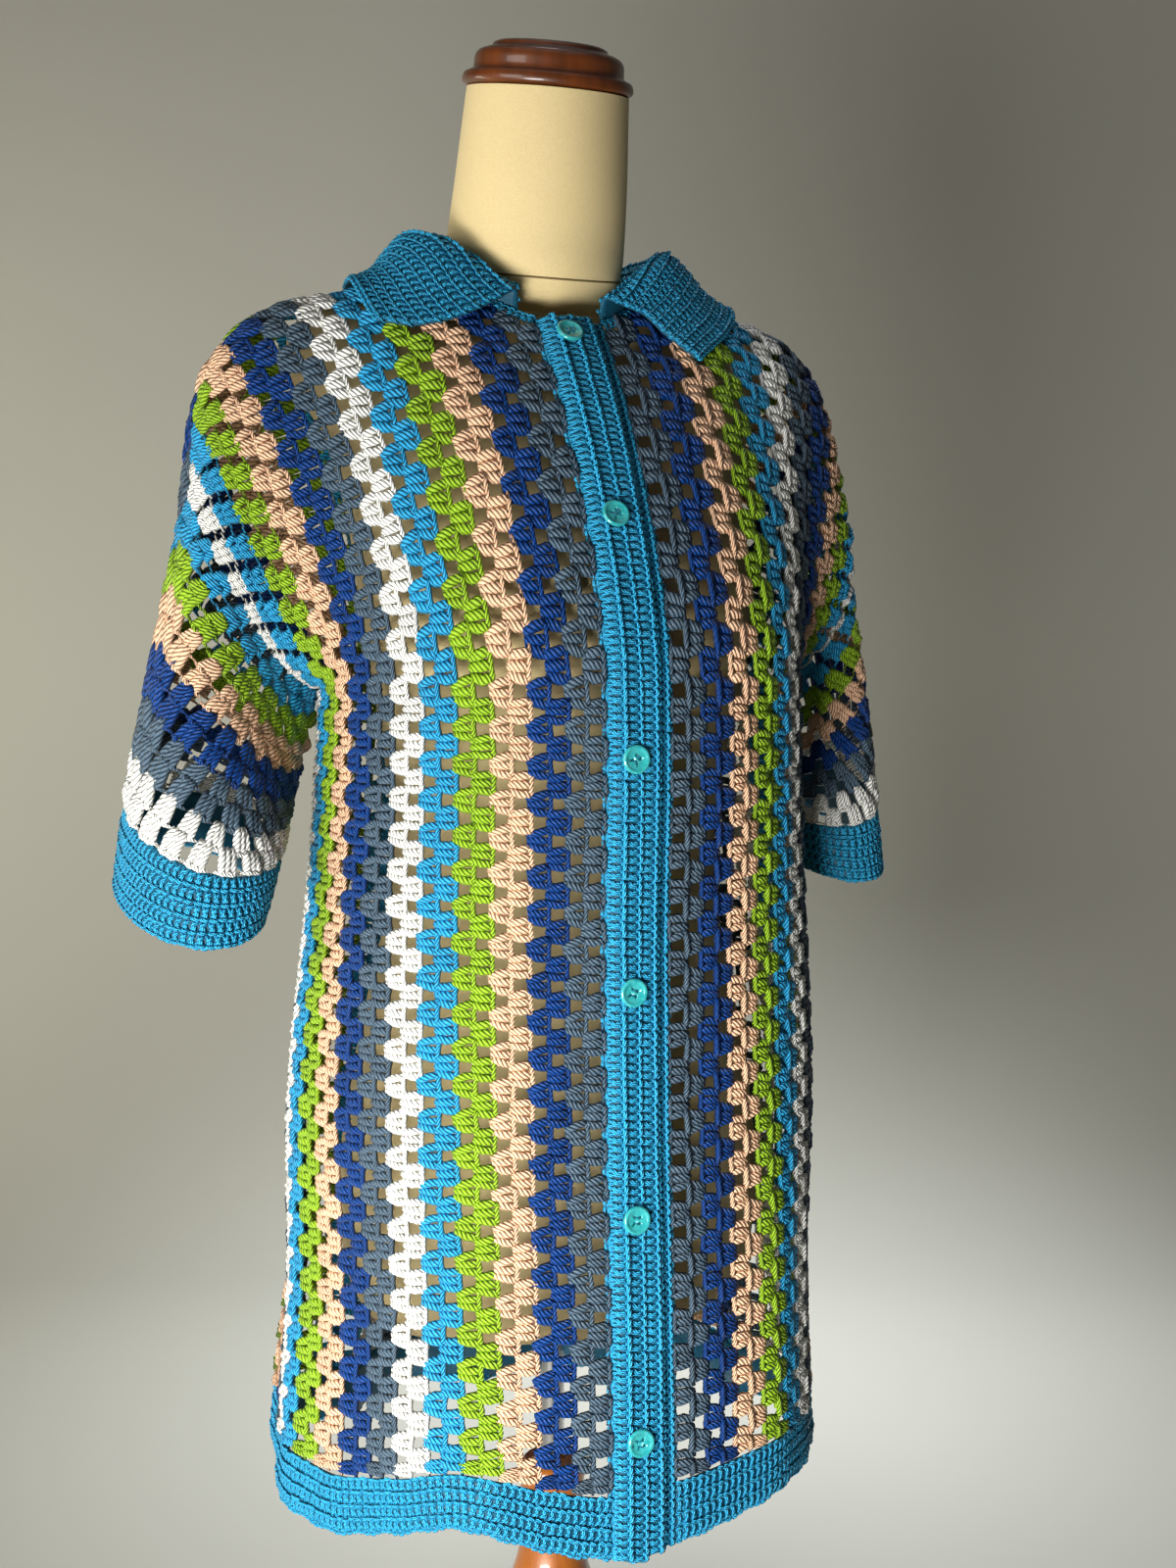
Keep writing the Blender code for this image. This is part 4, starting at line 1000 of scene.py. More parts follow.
def top_chain(name, braid_lift):
    """The chain that the tops of a cluster's trebles make, which runs on to the next cluster."""
    full = bpy.context.scene.cardigan_crochet.fullness
    yarn = Yarn()
    path, radii = [], []
    for x, girth in zip((-0.0114, -0.0066, -0.0040, -0.0014, 0.0014, 0.0040, 0.0066, 0.0114),
                        (0.7, 1.5, 2.05, 1.6, 1.6, 2.05, 1.5, 0.7)):
        over = exp(-(x / 0.0080) ** 4)
        path.append((x, 0.0060 - 0.0010 * (1 - over), -0.0004 + (0.0018 + braid_lift) * over))
        radii.append((girth + (0.25 if braid_lift else 0.0) * over) / 1000 * full)
    yarn.tube(path, radii, 4, phase=0.5)
    return yarn.object(name)


TREBLE_STRANDS = (        # the two that cross in its post, and the loop over its top
    ((-0.0017, -0.0047, 0.0003), (-0.0005, -0.0012, 0.0014),
     (0.0006, 0.0016, 0.0012), (0.0014, 0.0040, 0.0002)),
    ((0.0019, -0.0045, 0.0001), (0.0012, -0.0016, 0.0007),
     (-0.0004, 0.0012, 0.0018), (-0.0016, 0.0034, 0.0006)),
    ((-0.0029, 0.0026, 0.0006), (-0.0010, 0.0045, 0.0020),
     (0.0012, 0.0046, 0.0022), (0.0028, 0.0034, 0.0008)),
)


def plain_stitch(name, slant, seed):
    """One treble of the plain cloth."""
    luck = np.random.default_rng(seed)
    full = bpy.context.scene.cardigan_crochet.fullness
    yarn = Yarn()
    for strand in TREBLE_STRANDS:
        path = [(x + slant * y / 0.0045 + luck.normal(0, 0.00012), y, z) for x, y, z in strand]
        yarn.tube(path, np.array((0.0010, 0.0014, 0.0014, 0.0010)) * full, 3, phase=0.25)
    return yarn.object(name)


def edge_link(name):
    """One link of the chain that finishes an edge: two legs side by side."""
    full = bpy.context.scene.cardigan_crochet.fullness
    yarn = Yarn()
    for up in (-1, 1):
        leg = [(-0.0026, 0.0002 * up, -0.0003), (-0.0006, 0.0013 * up, 0.0005),
               (0.0012, 0.0012 * up, 0.0006), (0.0028, 0.0001 * up, 0.0)]
        yarn.tube(leg, np.array((0.0008, 0.0012, 0.0012, 0.0008)) * full, 4)
    return yarn.object(name)


KINDS = 5                 # that one tree can lay
stitch_tree = {}


def scatter_tree():
    """The tree that lays stitches on points, one kind for each point, and gives each its yarn."""
    if "tree" in stitch_tree:
        return stitch_tree["tree"]
    tree = bpy.data.node_groups.new("Stitches on cloth", "GeometryNodeTree")
    face = tree.interface
    face.new_socket("Places", in_out="INPUT", socket_type="NodeSocketGeometry")
    face.new_socket("Unevenness", in_out="INPUT", socket_type="NodeSocketFloat")
    face.new_socket("Seed", in_out="INPUT", socket_type="NodeSocketInt")
    for kind in range(KINDS):
        face.new_socket(f"Stitch {kind}", in_out="INPUT", socket_type="NodeSocketObject")
    for yarn in YARNS:
        face.new_socket(f"{yarn} yarn", in_out="INPUT", socket_type="NodeSocketMaterial")
    face.new_socket("Cloth", in_out="OUTPUT", socket_type="NodeSocketGeometry")
    given = add(tree, "NodeGroupInput", {}).node.outputs
    stored = {name: add(tree, "GeometryNodeInputNamedAttribute", {"Name": name}, data_type=kind)
              for name, kind in (("way_out", "FLOAT_VECTOR"), ("to_top", "FLOAT_VECTOR"),
                                 ("size", "FLOAT_VECTOR"), ("kind", "INT"), ("yarn_number", "INT"))}
    stands = add(tree, "FunctionNodeAxesToRotation", {0: stored["way_out"], 1: stored["to_top"]},
                 primary_axis="Z", secondary_axis="Y")
    least = add(tree, "ShaderNodeMath", {0: given["Unevenness"], 1: -1.0}, operation="MULTIPLY")
    lowest = add(tree, "ShaderNodeCombineXYZ", {0: least, 1: least, 2: least})
    highest = add(tree, "ShaderNodeCombineXYZ", {k: given["Unevenness"] for k in range(3)})
    wobble = add(tree, "FunctionNodeRandomValue", {0: lowest, 1: highest, "Seed": given["Seed"]},
                 data_type="FLOAT_VECTOR")
    by = add(tree, "FunctionNodeEulerToRotation", {0: wobble})
    turned_to = add(tree, "FunctionNodeRotateRotation", {0: stands, 1: by}, rotation_space="LOCAL")
    joined = tree.nodes.new("GeometryNodeJoinGeometry")
    for kind in range(KINDS):
        chosen = add(tree, "FunctionNodeCompare", {2: stored["kind"], 3: kind}, data_type="INT",
                     operation="EQUAL")
        shape = add(tree, "GeometryNodeObjectInfo", {"Object": given[f"Stitch {kind}"]}, "Geometry")
        feed(joined, {0: add(tree, "GeometryNodeInstanceOnPoints",
                             {"Points": given["Places"], "Selection": chosen, "Instance": shape,
                              "Rotation": turned_to, "Scale": stored["size"]})})
    cloth_out = add(tree, "GeometryNodeRealizeInstances", {0: joined.outputs[0]})
    for number, yarn in enumerate(YARNS):
        chosen = add(tree, "FunctionNodeCompare", {2: stored["yarn_number"], 3: number}, data_type="INT",
                     operation="EQUAL")
        cloth_out = add(tree, "GeometryNodeSetMaterial", {"Geometry": cloth_out, "Selection": chosen,
                                                          "Material": given[f"{yarn} yarn"]})
    feed(tree.nodes.new("NodeGroupOutput"), {0: cloth_out})
    stitch_tree["tree"] = tree
    return tree


def gathered(groups, key):
    """One value for each stitch of all the groups."""
    return np.concatenate([np.broadcast_to(g[key], len(g["centre"])) for g in groups])


def lay_stitches(name, groups, kinds, brighter=0.0):
    """Lay stitches of the kinds on the groups' places, as one plain mesh."""
    settings = bpy.context.scene.cardigan_crochet
    centre, way_out, to_top = (np.concatenate([group[key] for group in groups])
                               for key in ("centre", "way_out", "to_top"))
    count = len(centre)
    size = np.stack((gathered(groups, "width"), gathered(groups, "height"), np.ones(count)), axis=1)
    luck = np.random.default_rng(settings.seed + count)
    size *= luck.uniform(0.95, 1.05, size.shape)
    places = bpy.data.meshes.new(name + " places")
    places.from_pydata([tuple(map(float, p)) for p in centre], [], [])
    for key, values in (("way_out", way_out), ("to_top", to_top), ("size", size)):
        layer = places.attributes.new(key, "FLOAT_VECTOR", "POINT").data
        layer.foreach_set("vector", values.ravel().astype(np.float32))
    # tone: a random tone for each stitch, raised by brighter as painted light
    tone = places.attributes.new("tone", "FLOAT", "POINT").data
    tone.foreach_set("value", (brighter + luck.random(count)).astype(np.float32))
    for key, number in (("kind", "kind"), ("yarn", "yarn_number")):
        layer = places.attributes.new(number, "INT", "POINT").data
        layer.foreach_set("value", gathered(groups, key).astype(np.int32))
    holder = bpy.data.objects.new(name + " places", places)
    bpy.context.collection.objects.link(holder)
    tree = scatter_tree()
    named = {item.name: item.identifier for item in tree.interface.items_tree if item.item_type == "SOCKET"}
    laid = holder.modifiers.new("Stitches", "NODES")
    laid.node_group = tree
    laid[named["Unevenness"]] = settings.unevenness
    laid[named["Seed"]] = settings.seed
    for number, shape in enumerate(kinds):
        laid[named[f"Stitch {number}"]] = shape
    for yarn, material in zip(YARNS, yarn_materials()):
        laid[named[f"{yarn} yarn"]] = material
    holder.update_tag()
    graph = bpy.context.evaluated_depsgraph_get()
    mesh = bpy.data.meshes.new_from_object(holder.evaluated_get(graph), depsgraph=graph)
    mesh.name = name
    bpy.data.objects.remove(holder)
    for key in ("way_out", "to_top", "size", "kind", "yarn_number"):
        if key in mesh.attributes:
            mesh.attributes.remove(mesh.attributes[key])
    made = bpy.data.objects.new(name, mesh)
    bpy.context.collection.objects.link(made)
    return made


def clear(shapes):
    for shape in shapes:
        bpy.data.objects.remove(shape)


def belongs(piece, slot, *nodes):
    """The piece stands for its nodes and is still where they are."""
    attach(piece, "root")
    if nodes:
        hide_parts(*nodes)


# Granny stripes

STRIPES = ("slate", "navy", "peach", "green", "turquoise", "white")     # from the front bands to the side
ROWS_UP = 32              # clusters in a row from hem to shoulder
FRONT_ROWS = 24
BACK_ROWS = 18            # from a side seam to the middle
SLEEVE_RINGS = 12
SLEEVE_STRIPES = ("turquoise", "green", "peach", "navy", "slate", "white")
NET_STEP = 1e-4           # the back's net starts this far past the side seam, where the front's surface ends


def panel_net(side, first, last, columns):
    """The net of a front or of half the back: s goes up, t goes round."""
    ups = np.linspace(0.0, 1.0, NET_ROWS)
    rounds = np.linspace(first, last, columns)
    return Net([[cloth(side, c, up) for c in rounds] for up in ups], -side)


def panel_groups(net, side, panel):
    """The places of a panel's clusters, row by row from the edge at t 0."""
    groups = []
    for row in range(panel.rows):
        t = (row + 0.5) / panel.rows
        top = row_top(side, panel.first + (panel.last - panel.first) * t)
        shift = 0.5 * (row % 2)
        ups = (np.arange(ROWS_UP) + 0.5 + shift) / ROWS_UP
        widths = np.ones(ROWS_UP)
        if shift:
            ups, widths = np.concatenate(([0.27 / ROWS_UP], ups)), np.concatenate(([0.55], widths))
        keep = ups < top - 0.32 / ROWS_UP
        left_over = (top - ups[keep][-1]) * ROWS_UP - 0.5
        ups, widths = ups[keep], widths[keep]
        if left_over > 0.35:
            ups, widths = np.append(ups, top - left_over / 2 / ROWS_UP), np.append(widths, left_over)
        group = net.places(ups, np.full(len(ups), t), 1 / ROWS_UP, 1 / panel.rows, panel.toward)
        group["width"] = group["width"] * widths / CLUSTER_PITCH
        group["height"] = group["height"] / CLUSTER_HEIGHT
        later = row % 2 == (0 if panel.toward < 0 else 1)    # the second row of its stripe
        luck = np.random.default_rng(row).integers(0, 2, len(ups))
        first_kinds = np.full(len(ups), BRAIDED) if panel.braided else luck + FAN
        group["kind"] = luck + SQUARE if later else first_kinds
        group["yarn"] = YARNS.index(STRIPES[row // 2 % len(STRIPES)])
        groups.append(group)
    return groups


def granny_piece(name, node, groups, kinds, chains):
    """A granny piece: its clusters, and the chains over their tops."""
    clusters = lay_stitches(f"{name}_crochet", groups, kinds)
    belongs(clusters, "granny_crochet", node)
    tops = lay_stitches(f"{name}_chains", groups, chains)
    belongs(tops, "granny_crochet", node)


# A panel: from where to where it goes round, how far its net keeps from its first edge, the net's columns,
# its rows of clusters, which way their tops point, and whether every second row has a braided top
Stripes = namedtuple("Stripes", "name node first last net_from columns rows toward braided")
NET_ROWS = 65


class CARDIGAN_OT_panels(bpy.types.Operator):
    """Make the fronts and the back of granny stripes"""
    bl_idname = "cardigan.panels"
    bl_label = "Fronts and back"

    def execute(self, context):
        kinds = [cluster("square cluster", 0.0043, 0.0058, 1), cluster("square cluster b", 0.0041, 0.0060, 2),
                 cluster("fan cluster", 0.0027, 0.0061, 3), cluster("fan cluster b", 0.0030, 0.0062, 4),
                 cluster("fan cluster c", 0.0027, 0.0061, 5)]
        chain, braid = top_chain("chain", 0.0), top_chain("braid", 0.0016)
        chains = [chain, chain, chain, chain, braid]
        edges = {-1: (SEAM - UPPER_BAND[0]) / FRONT_ARC, 1: (UNDER_BAND[1] + SEAM) / FRONT_ARC}
        for side, word in SIDES:
            front = Stripes(f"front_{word}", f"front_{word}", edges[side], 1 - SEAM / 2 / FRONT_ARC, 0.0,
                            33, FRONT_ROWS, -1, side > 0)
            half = Stripes(f"back_{word}_half", "back", 1.0, 2.0, NET_STEP, 29, BACK_ROWS, 1, False)
            for panel in (front, half):
                start = panel.first + panel.net_from
                net = panel_net(side, start, panel.last, panel.columns)
                groups = panel_groups(net, side, panel)
                tops = [row_top(side, c) for c in np.linspace(start, panel.last, panel.columns)]
                granny_piece(panel.name, panel.node, groups, kinds, chains)
        clear([*kinds, chain, braid])
        return {"FINISHED"}


def sleeve_net(side, first, last, rows, columns=81):
    """The net of a sleeve or cuff: s goes round it, t goes down."""
    turns = np.linspace(0.0, 1.0, columns)
    return Net([[sleeve_point(side, turn % 1.0, down) for down in np.linspace(first, last, rows)]
                for turn in turns], -side)


class CARDIGAN_OT_sleeves(bpy.types.Operator):
    """Make the sleeves of granny rings"""
    bl_idname = "cardigan.sleeves"
    bl_label = "Sleeves"

    def execute(self, context):
        kinds = [cluster("square ring cluster", 0.0037, 0.0053, 21, 1.10),
                 cluster("square ring cluster b", 0.0035, 0.0055, 22, 1.10),
                 cluster("fan ring cluster", 0.0022, 0.0056, 23, 1.10),
                 cluster("fan ring cluster b", 0.0025, 0.0057, 24, 1.10)]
        chain = top_chain("ring chain", 0.0)
        for side, word in SIDES:
            net = sleeve_net(side, 0.0, 1 - CUFF_SHARE - CUFF_GAP, 33)
            groups = []
            for ring in range(SLEEVE_RINGS):
                turns = (np.arange(SLEEVE_TURNS) + 0.5 * (ring % 2)) / SLEEVE_TURNS
                t = np.full(SLEEVE_TURNS, (ring + 0.5) / SLEEVE_RINGS)
                group = net.places(turns, t, 1 / SLEEVE_TURNS, 1 / SLEEVE_RINGS)
                group["width"] = group["width"] / CLUSTER_PITCH
                group["height"] = group["height"] / CLUSTER_HEIGHT
                luck = np.random.default_rng(ring + 50).integers(0, 2, SLEEVE_TURNS)
                group["kind"] = luck + (FAN if ring % 2 == 0 else SQUARE)
                group["yarn"] = YARNS.index(SLEEVE_STRIPES[ring // 2])
                groups.append(group)
            granny_piece(f"sleeve_{word}", f"sleeve_{word}", groups, kinds, [chain] * len(kinds))
        clear([*kinds, chain])
        return {"FINISHED"}


# Plain crochet

PLAIN_BRIGHTER = 0.7      # painted light: plain stitches are painted nearer their lit colour, as their fine strands lie closer and show more of their lit side
BAND_EDGE, CUFF_EDGE = 0.0009, 0.0006    # how far the hem's and the cuffs' edging waves
EDGE_WAVE = 5             # links in a wave


def even(net, t, count):
    """Places at even distances along a row of the net, and the distance."""
    rows = net.points.shape[0]
    s = np.linspace(0.0, 1.0, rows * 3)
    line = net.read(net.points, s, np.full(len(s), t))
    lengths = np.concatenate(([0.0], np.cumsum(np.linalg.norm(np.diff(line, axis=0), axis=1))))
    return np.interp((np.arange(count) + 0.5) / count * lengths[-1], lengths, s), lengths[-1] / count


def plain_groups(net, rows, toward, pitch=STITCH_PITCH, low=0.0, high=1.0, ragged=0.0):
    """Rows of single trebles over the net, from t low to t high."""
    groups = []
    for row in range(rows):
        t = low + (high - low) * (row + 0.5) / rows
        _, length = even(net, t, 1)
        s, wide = even(net, t, max(int(round(length / pitch)), 1))
        group = net.places(s, np.full(len(s), t), 1.0, (high - low) / rows, toward)
        uneven = 1 + ragged * np.random.default_rng(row + 90).uniform(-1, 1, len(s)) * (row in (0, rows - 1))
        group["width"] = np.full(len(s), wide / STITCH_PITCH)
        group["height"] = group["height"] / STITCH_HEIGHT * uneven
        group["kind"] = np.random.default_rng(row + 70).integers(0, 2, len(s))
        group["yarn"] = YARNS.index("edging")
        groups.append(group)
    return groups


def edge_chain(net, t, wave=0.0):
    """The chain along an edge of the net, at a t."""
    _, length = even(net, t, 1)
    at, wide = even(net, t, int(round(length / EDGE_PITCH)))
    group = net.places(at, np.full(len(at), t), 1.0, 1.0)
    side_by = group["to_top"] / np.linalg.norm(group["to_top"], axis=1)[:, None]
    waves = wave * np.sin(np.arange(len(at)) * tau / EDGE_WAVE)
    group["centre"] = group["centre"] + side_by * waves[:, None]
    group["width"], group["height"] = np.full(len(at), wide / EDGE_PITCH), np.ones(len(at))
    group["kind"], group["yarn"] = 2, YARNS.index("edging")
    return group


def end_chain(net, s):
    """The chain across the net, at an s."""
    turned = Net(net.points.transpose(1, 0, 2))
    turned.out = net.out.transpose(1, 0, 2)
    return edge_chain(turned, s)


def lay_plain(name, groups, seed):
    """Lay the two kinds of plain treble, and the links of the edgings."""
    shapes = [plain_stitch("treble", 0.0005, seed), plain_stitch("treble b", -0.0002, seed + 1),
              edge_link("edge link")]
    made = lay_stitches(name, groups, shapes, PLAIN_BRIGHTER)
    clear(shapes)
    return made


def plain_piece(node, net, groups):
    """A plain crochet piece: thin cloth on the net, with the stitches on it."""
    # the ground has no yarn map, so it takes the yarn's dark groove colour all over: painted shade between
    # the stitches
    sheet = net.sheet(node + "_ground", bpy.context.scene.cardigan_crochet.backing, yarn_materials()[-1])
    stitches = lay_plain(node + "_stitches", groups, 31)
    belongs(sheet, "plain_crochet", node)
    belongs(stitches, "plain_crochet", node)


class CARDIGAN_OT_bands(bpy.types.Operator):
    """Make the button bands, the hem band and the cuffs"""
    bl_idname = "cardigan.bands"
    bl_label = "Bands and cuffs"

    def execute(self, context):
        shares = np.linspace(-HEM_SHARE, 1.0, 106)
        for word, band, lift in (("right", UPPER_BAND, upper_lift), ("left", UNDER_BAND, lambda a: 0.0)):
            columns = [(a, band_top(a), lift(a)) for a in np.linspace(*band, 11)]
            net = Net([[band_point(a, up_to(top, share), out) for a, top, out in columns]
                       for share in shares], -1)
            groups = plain_groups(net, 3, 1, low=0.05, high=0.93)
            groups += [edge_chain(net, 0.97), edge_chain(net, 0.02), end_chain(net, 0.003)]
            plain_piece(f"band_{word}", net, groups)
        left_edge = (UNDER_BAND[1] + SEAM) / FRONT_ARC
        right_edge = (SEAM - UPPER_BAND[0]) / FRONT_ARC
        run = []
        for side, start, end, count in ((1, left_edge, 1.0, 52), (1, 1.0, 2.0, 45), (-1, 2.0, 1.0, 45),
                                        (-1, 1.0, right_edge, 52)):
            run += [(side, c) for c in np.linspace(start, end, count)[1 if run else 0:]]
        levels = np.linspace(-HEM_SHARE, -1.5 * SEAM, 7)
        net = Net([[cloth(side, c, up) for up in levels] for side, c in run], 1)
        groups = plain_groups(net, 4, 1, ragged=0.18)
        groups += [edge_chain(net, 0.015, BAND_EDGE), end_chain(net, 0.004), end_chain(net, 0.996)]
        plain_piece("hem_band", net, groups)
        for side, word in SIDES:
            net = sleeve_net(side, 1 - CUFF_SHARE + CUFF_GAP, 1.0, 11)
            groups = plain_groups(net, 5, 1) + [edge_chain(net, 0.98, CUFF_EDGE)]
            plain_piece(f"cuff_{word}", net, groups)
        return {"FINISHED"}


COLLAR_ROWS = 13
COLLAR_ANGLES = 45        # places round half the neck
COLLAR_STEPS = 41         # places from its seam over the fold to its edge
COLLAR_EASING = 6         # rounds of smoothing from place to place round the neck


def resampled(line, count):
    """A polyline at even distances, with its corners eased."""
    line = np.array(line)
    lengths = np.concatenate(([0.0], np.cumsum(np.linalg.norm(np.diff(line, axis=0), axis=1))))
    at = np.linspace(0.0, lengths[-1], count)
    made = np.stack([np.interp(at, lengths, line[:, k]) for k in range(3)], axis=1)
    for _ in range(3):
        made[1:-1] = (made[:-2] + 2 * made[1:-1] + made[2:]) / 4
    return made


NECK_EDGE_SHARE = 0.0085  # how far down the neckline's edging goes, on the rows' scale
NECK_EDGE_OUT = 0.0012    # how far it lies out on the cloth


def neckline_edge(side, word, from_middle):
    """A row of single trebles along the neckline, from the band to under the collar."""
    columns = np.linspace(from_middle / FRONT_ARC, NECK_COLUMNS[2], 14)
    tops = [row_top(side, c) for c in columns]
    shares = np.linspace(1 - NECK_EDGE_SHARE, 1.0, 4)
    net = Net([[cloth(side, c, up_to(top, share), NECK_EDGE_OUT) for share in shares]
               for c, top in zip(columns, tops)], side)
    made = lay_plain(f"neckline_edge_{word}", [*plain_groups(net, 1, 1), edge_chain(net, 0.93)], 41)
    belongs(made, "plain_crochet")
    return made


class CARDIGAN_OT_collar(bpy.types.Operator):
    """Make the turned-down collar"""
    bl_idname = "cardigan.collar"
    bl_label = "Collar"

    def execute(self, context):
        halves = []
        for side, _ in SIDES:
            samples, rim = cloth_samples(side), neckline_rim(side)
            angles = np.linspace(leaf_of(side).start, rim[0][-1], COLLAR_ANGLES)
            runs = [resampled(collar_run(samples, rim, side, a), COLLAR_STEPS) for a in angles]
            halves.append(np.array(runs))
        halves[0][-1] = halves[1][-1] = (halves[0][-1] + halves[1][-1]) / 2
        points = np.concatenate((halves[0], halves[1][-2::-1]))
        for _ in range(COLLAR_EASING):
            points[1:-1] = (points[:-2] + 2 * points[1:-1] + points[2:]) / 4
        net = Net(points, 1)
        groups = plain_groups(net, COLLAR_ROWS, 1, pitch=0.0056, high=0.97)
        groups += [edge_chain(net, 0.985), end_chain(net, 0.006), end_chain(net, 0.994)]
        edging = [neckline_edge(-1, "right", -UPPER_BAND[0]), neckline_edge(1, "left", UNDER_BAND[1])]
        plain_piece("collar", net, groups)
        return {"FINISHED"}


# Buttons, form and stand

CORNER_CUT = 0.2          # of a stretch, at each end, in a round of easing


def lathe(name, profile, segments, material, middle=(0.0, 0.0, 0.0), tilt=0.0, ease_corners=0):
    """A turned solid on a profile of radius and height. Eased corners are rounded once or more."""
    line = np.array(profile, dtype=float)
    for _ in range(ease_corners):
        early = line[:-1] * (1 - CORNER_CUT) + line[1:] * CORNER_CUT
        late = line[:-1] * CORNER_CUT + line[1:] * (1 - CORNER_CUT)
        inner = np.stack((early, late), axis=1).reshape(-1, 2)[1:-1]
        line = np.concatenate((line[:1], inner, line[-1:]))
    angles = tau * np.arange(segments) / segments
    points = []
    for radius, height in line:
        for angle in angles:
            x, y = radius * cos(angle), radius * sin(angle)
            points.append((middle[0] + x, middle[1] + y * cos(tilt) - height * sin(tilt),
                           middle[2] + height * cos(tilt) + y * sin(tilt)))
    return closed_rings(name, points, len(line), segments, material)


def closed_rings(name, points, rings, segments, material):
    """A closed mesh of rings of points, from the lowest up, with flat ends."""
    faces = [tuple(reversed(range(segments)))]
    for ring in range(rings - 1):
        a, b = ring * segments, (ring + 1) * segments
        faces += [(a + i, a + (i + 1) % segments, b + (i + 1) % segments, b + i) for i in range(segments)]
    faces.append(tuple((rings - 1) * segments + i for i in range(segments)))
    made = mesh_object(name, points, faces, material)
    made.data.set_sharp_from_angle(angle=radians(38))
    return made


BUTTON_PROFILE = ((0.0072, 0.0), (0.0083, 0.0003), (0.0088, 0.0012), (0.0088, 0.0021), (0.0083, 0.0029),
                  (0.0077, 0.0032), (0.0070, 0.0031), (0.0063, 0.0026), (0.0056, 0.0023), (0.0030, 0.00215))
HOLE_AWAY = 0.0018        # from the button's middle, both ways
HOLE_RADIUS = 0.00085
BUTTON_TURN = 17          # degrees that each is sewn on further round than the one above it
THREAD_RUN = (            # up one hole and down the next, in hole distances and height on the button
    (-1, -0.0012), (-1, 0.0019), (-0.75, 0.0025), (0.0, 0.0026), (0.75, 0.0025), (1, 0.0019), (1, -0.0012),
)
THREAD_RADIUS = 0.00034


def button_shape(material):
    """A button with four holes at the origin, facing +Z."""
    body = lathe("button body", BUTTON_PROFILE, 48, material)
    cutter = Yarn()
    for x in (-HOLE_AWAY, HOLE_AWAY):
        for y in (-HOLE_AWAY, HOLE_AWAY):
            cutter.tube([(x, y, -0.002), (x + 1e-6, y, 0.005)], HOLE_RADIUS, 12)
    tool = cutter.object("button holes")
    recalculate(tool)
    cut = body.modifiers.new("Holes", "BOOLEAN")
    cut.operation, cut.solver, cut.object = "DIFFERENCE", "EXACT", tool
    graph = bpy.context.evaluated_depsgraph_get()
    mesh = bpy.data.meshes.new_from_object(body.evaluated_get(graph), depsgraph=graph)
    for old in (body, tool):
        bpy.data.objects.remove(old)
    return mesh


def height_share(z):
    """How far up the middle of the front a height lies."""
    ups = np.linspace(0.0, band_top(BAND_MIDDLE), 90)
    return float(np.interp(z, [band_point(BAND_MIDDLE, up)[2] for up in ups], ups))


class CARDIGAN_OT_buttons(bpy.types.Operator):
    """Make the six four-holed buttons and sew them on"""
    bl_idname = "cardigan.buttons"
    bl_label = "Buttons"

    def execute(self, context):
        shape = button_shape(finish("pearl", tuple(context.scene.cardigan_stand.button)))
        for number in range(1, BUTTONS + 1):
            low, high = (np.array(corner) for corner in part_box(f"button_{number}"))
            middle = (low + high) / 2
            at = height_share(middle[2])
            slope = band_point(BAND_MIDDLE, at + 0.01) - band_point(BAND_MIDDLE, at)
            n = Vector((0.0, -slope[2], slope[1])).normalized()
            turned_by = Vector((0, 0, 1)).rotation_difference(n).to_matrix()
            spin = Matrix.Rotation(radians(BUTTON_TURN * number), 3, "Z")
            seat = Vector(middle) - n * BUTTON_THICK / 2
            placed = Matrix.Translation(seat) @ (turned_by @ spin).to_4x4()
            piece = bpy.data.objects.new(f"button_{number}_cast", shape.copy())
            piece.data.transform(placed)
            bpy.context.collection.objects.link(piece)
            belongs(piece, "pearly_button", f"button_{number}")
            thread = Yarn()
            for x in (-HOLE_AWAY, HOLE_AWAY):
                thread.tube([(x, y * HOLE_AWAY, z) for y, z in THREAD_RUN], THREAD_RADIUS, 6)
            sewn = thread.object(f"button_{number}_thread", yarn_materials()[-1])
            sewn.data.transform(placed)
            belongs(sewn, "pearly_button")
        bpy.data.meshes.remove(shape)
        return {"FINISHED"}


FORM_SEGMENTS = 72
FORM_LEVELS = ((FORM[0].z, 0.90, 50), (0.905, FORM[-1].z, 54))    # closer on the shoulders and the neck
NECK_SEAM_Z = 0.972       # at the throat
NECK_SEAM_TILT = 0.2
UNDER_CLOTH = 0.996       # the round form keeps inside the flats of its solid


def form_point(angle, z):
    """A point of the dress form's skin."""
    row = read_table(FORM, "z", z)
    middle, deep = (row.front + row.back) / 2, (row.back - row.front) / 2
    power = 2 / row.square
    keep = UNDER_CLOTH if z < NECK_FROM else 1.0
    x = keep * row.wide * np.sign(cos(angle)) * abs(cos(angle)) ** power
    y = middle + keep * deep * np.sign(sin(angle)) * abs(sin(angle)) ** power
    return np.array((x, y, z + (y - middle) * sin(CAP_TILT) * ease(z, NECK_FROM, FORM[-1].z)))


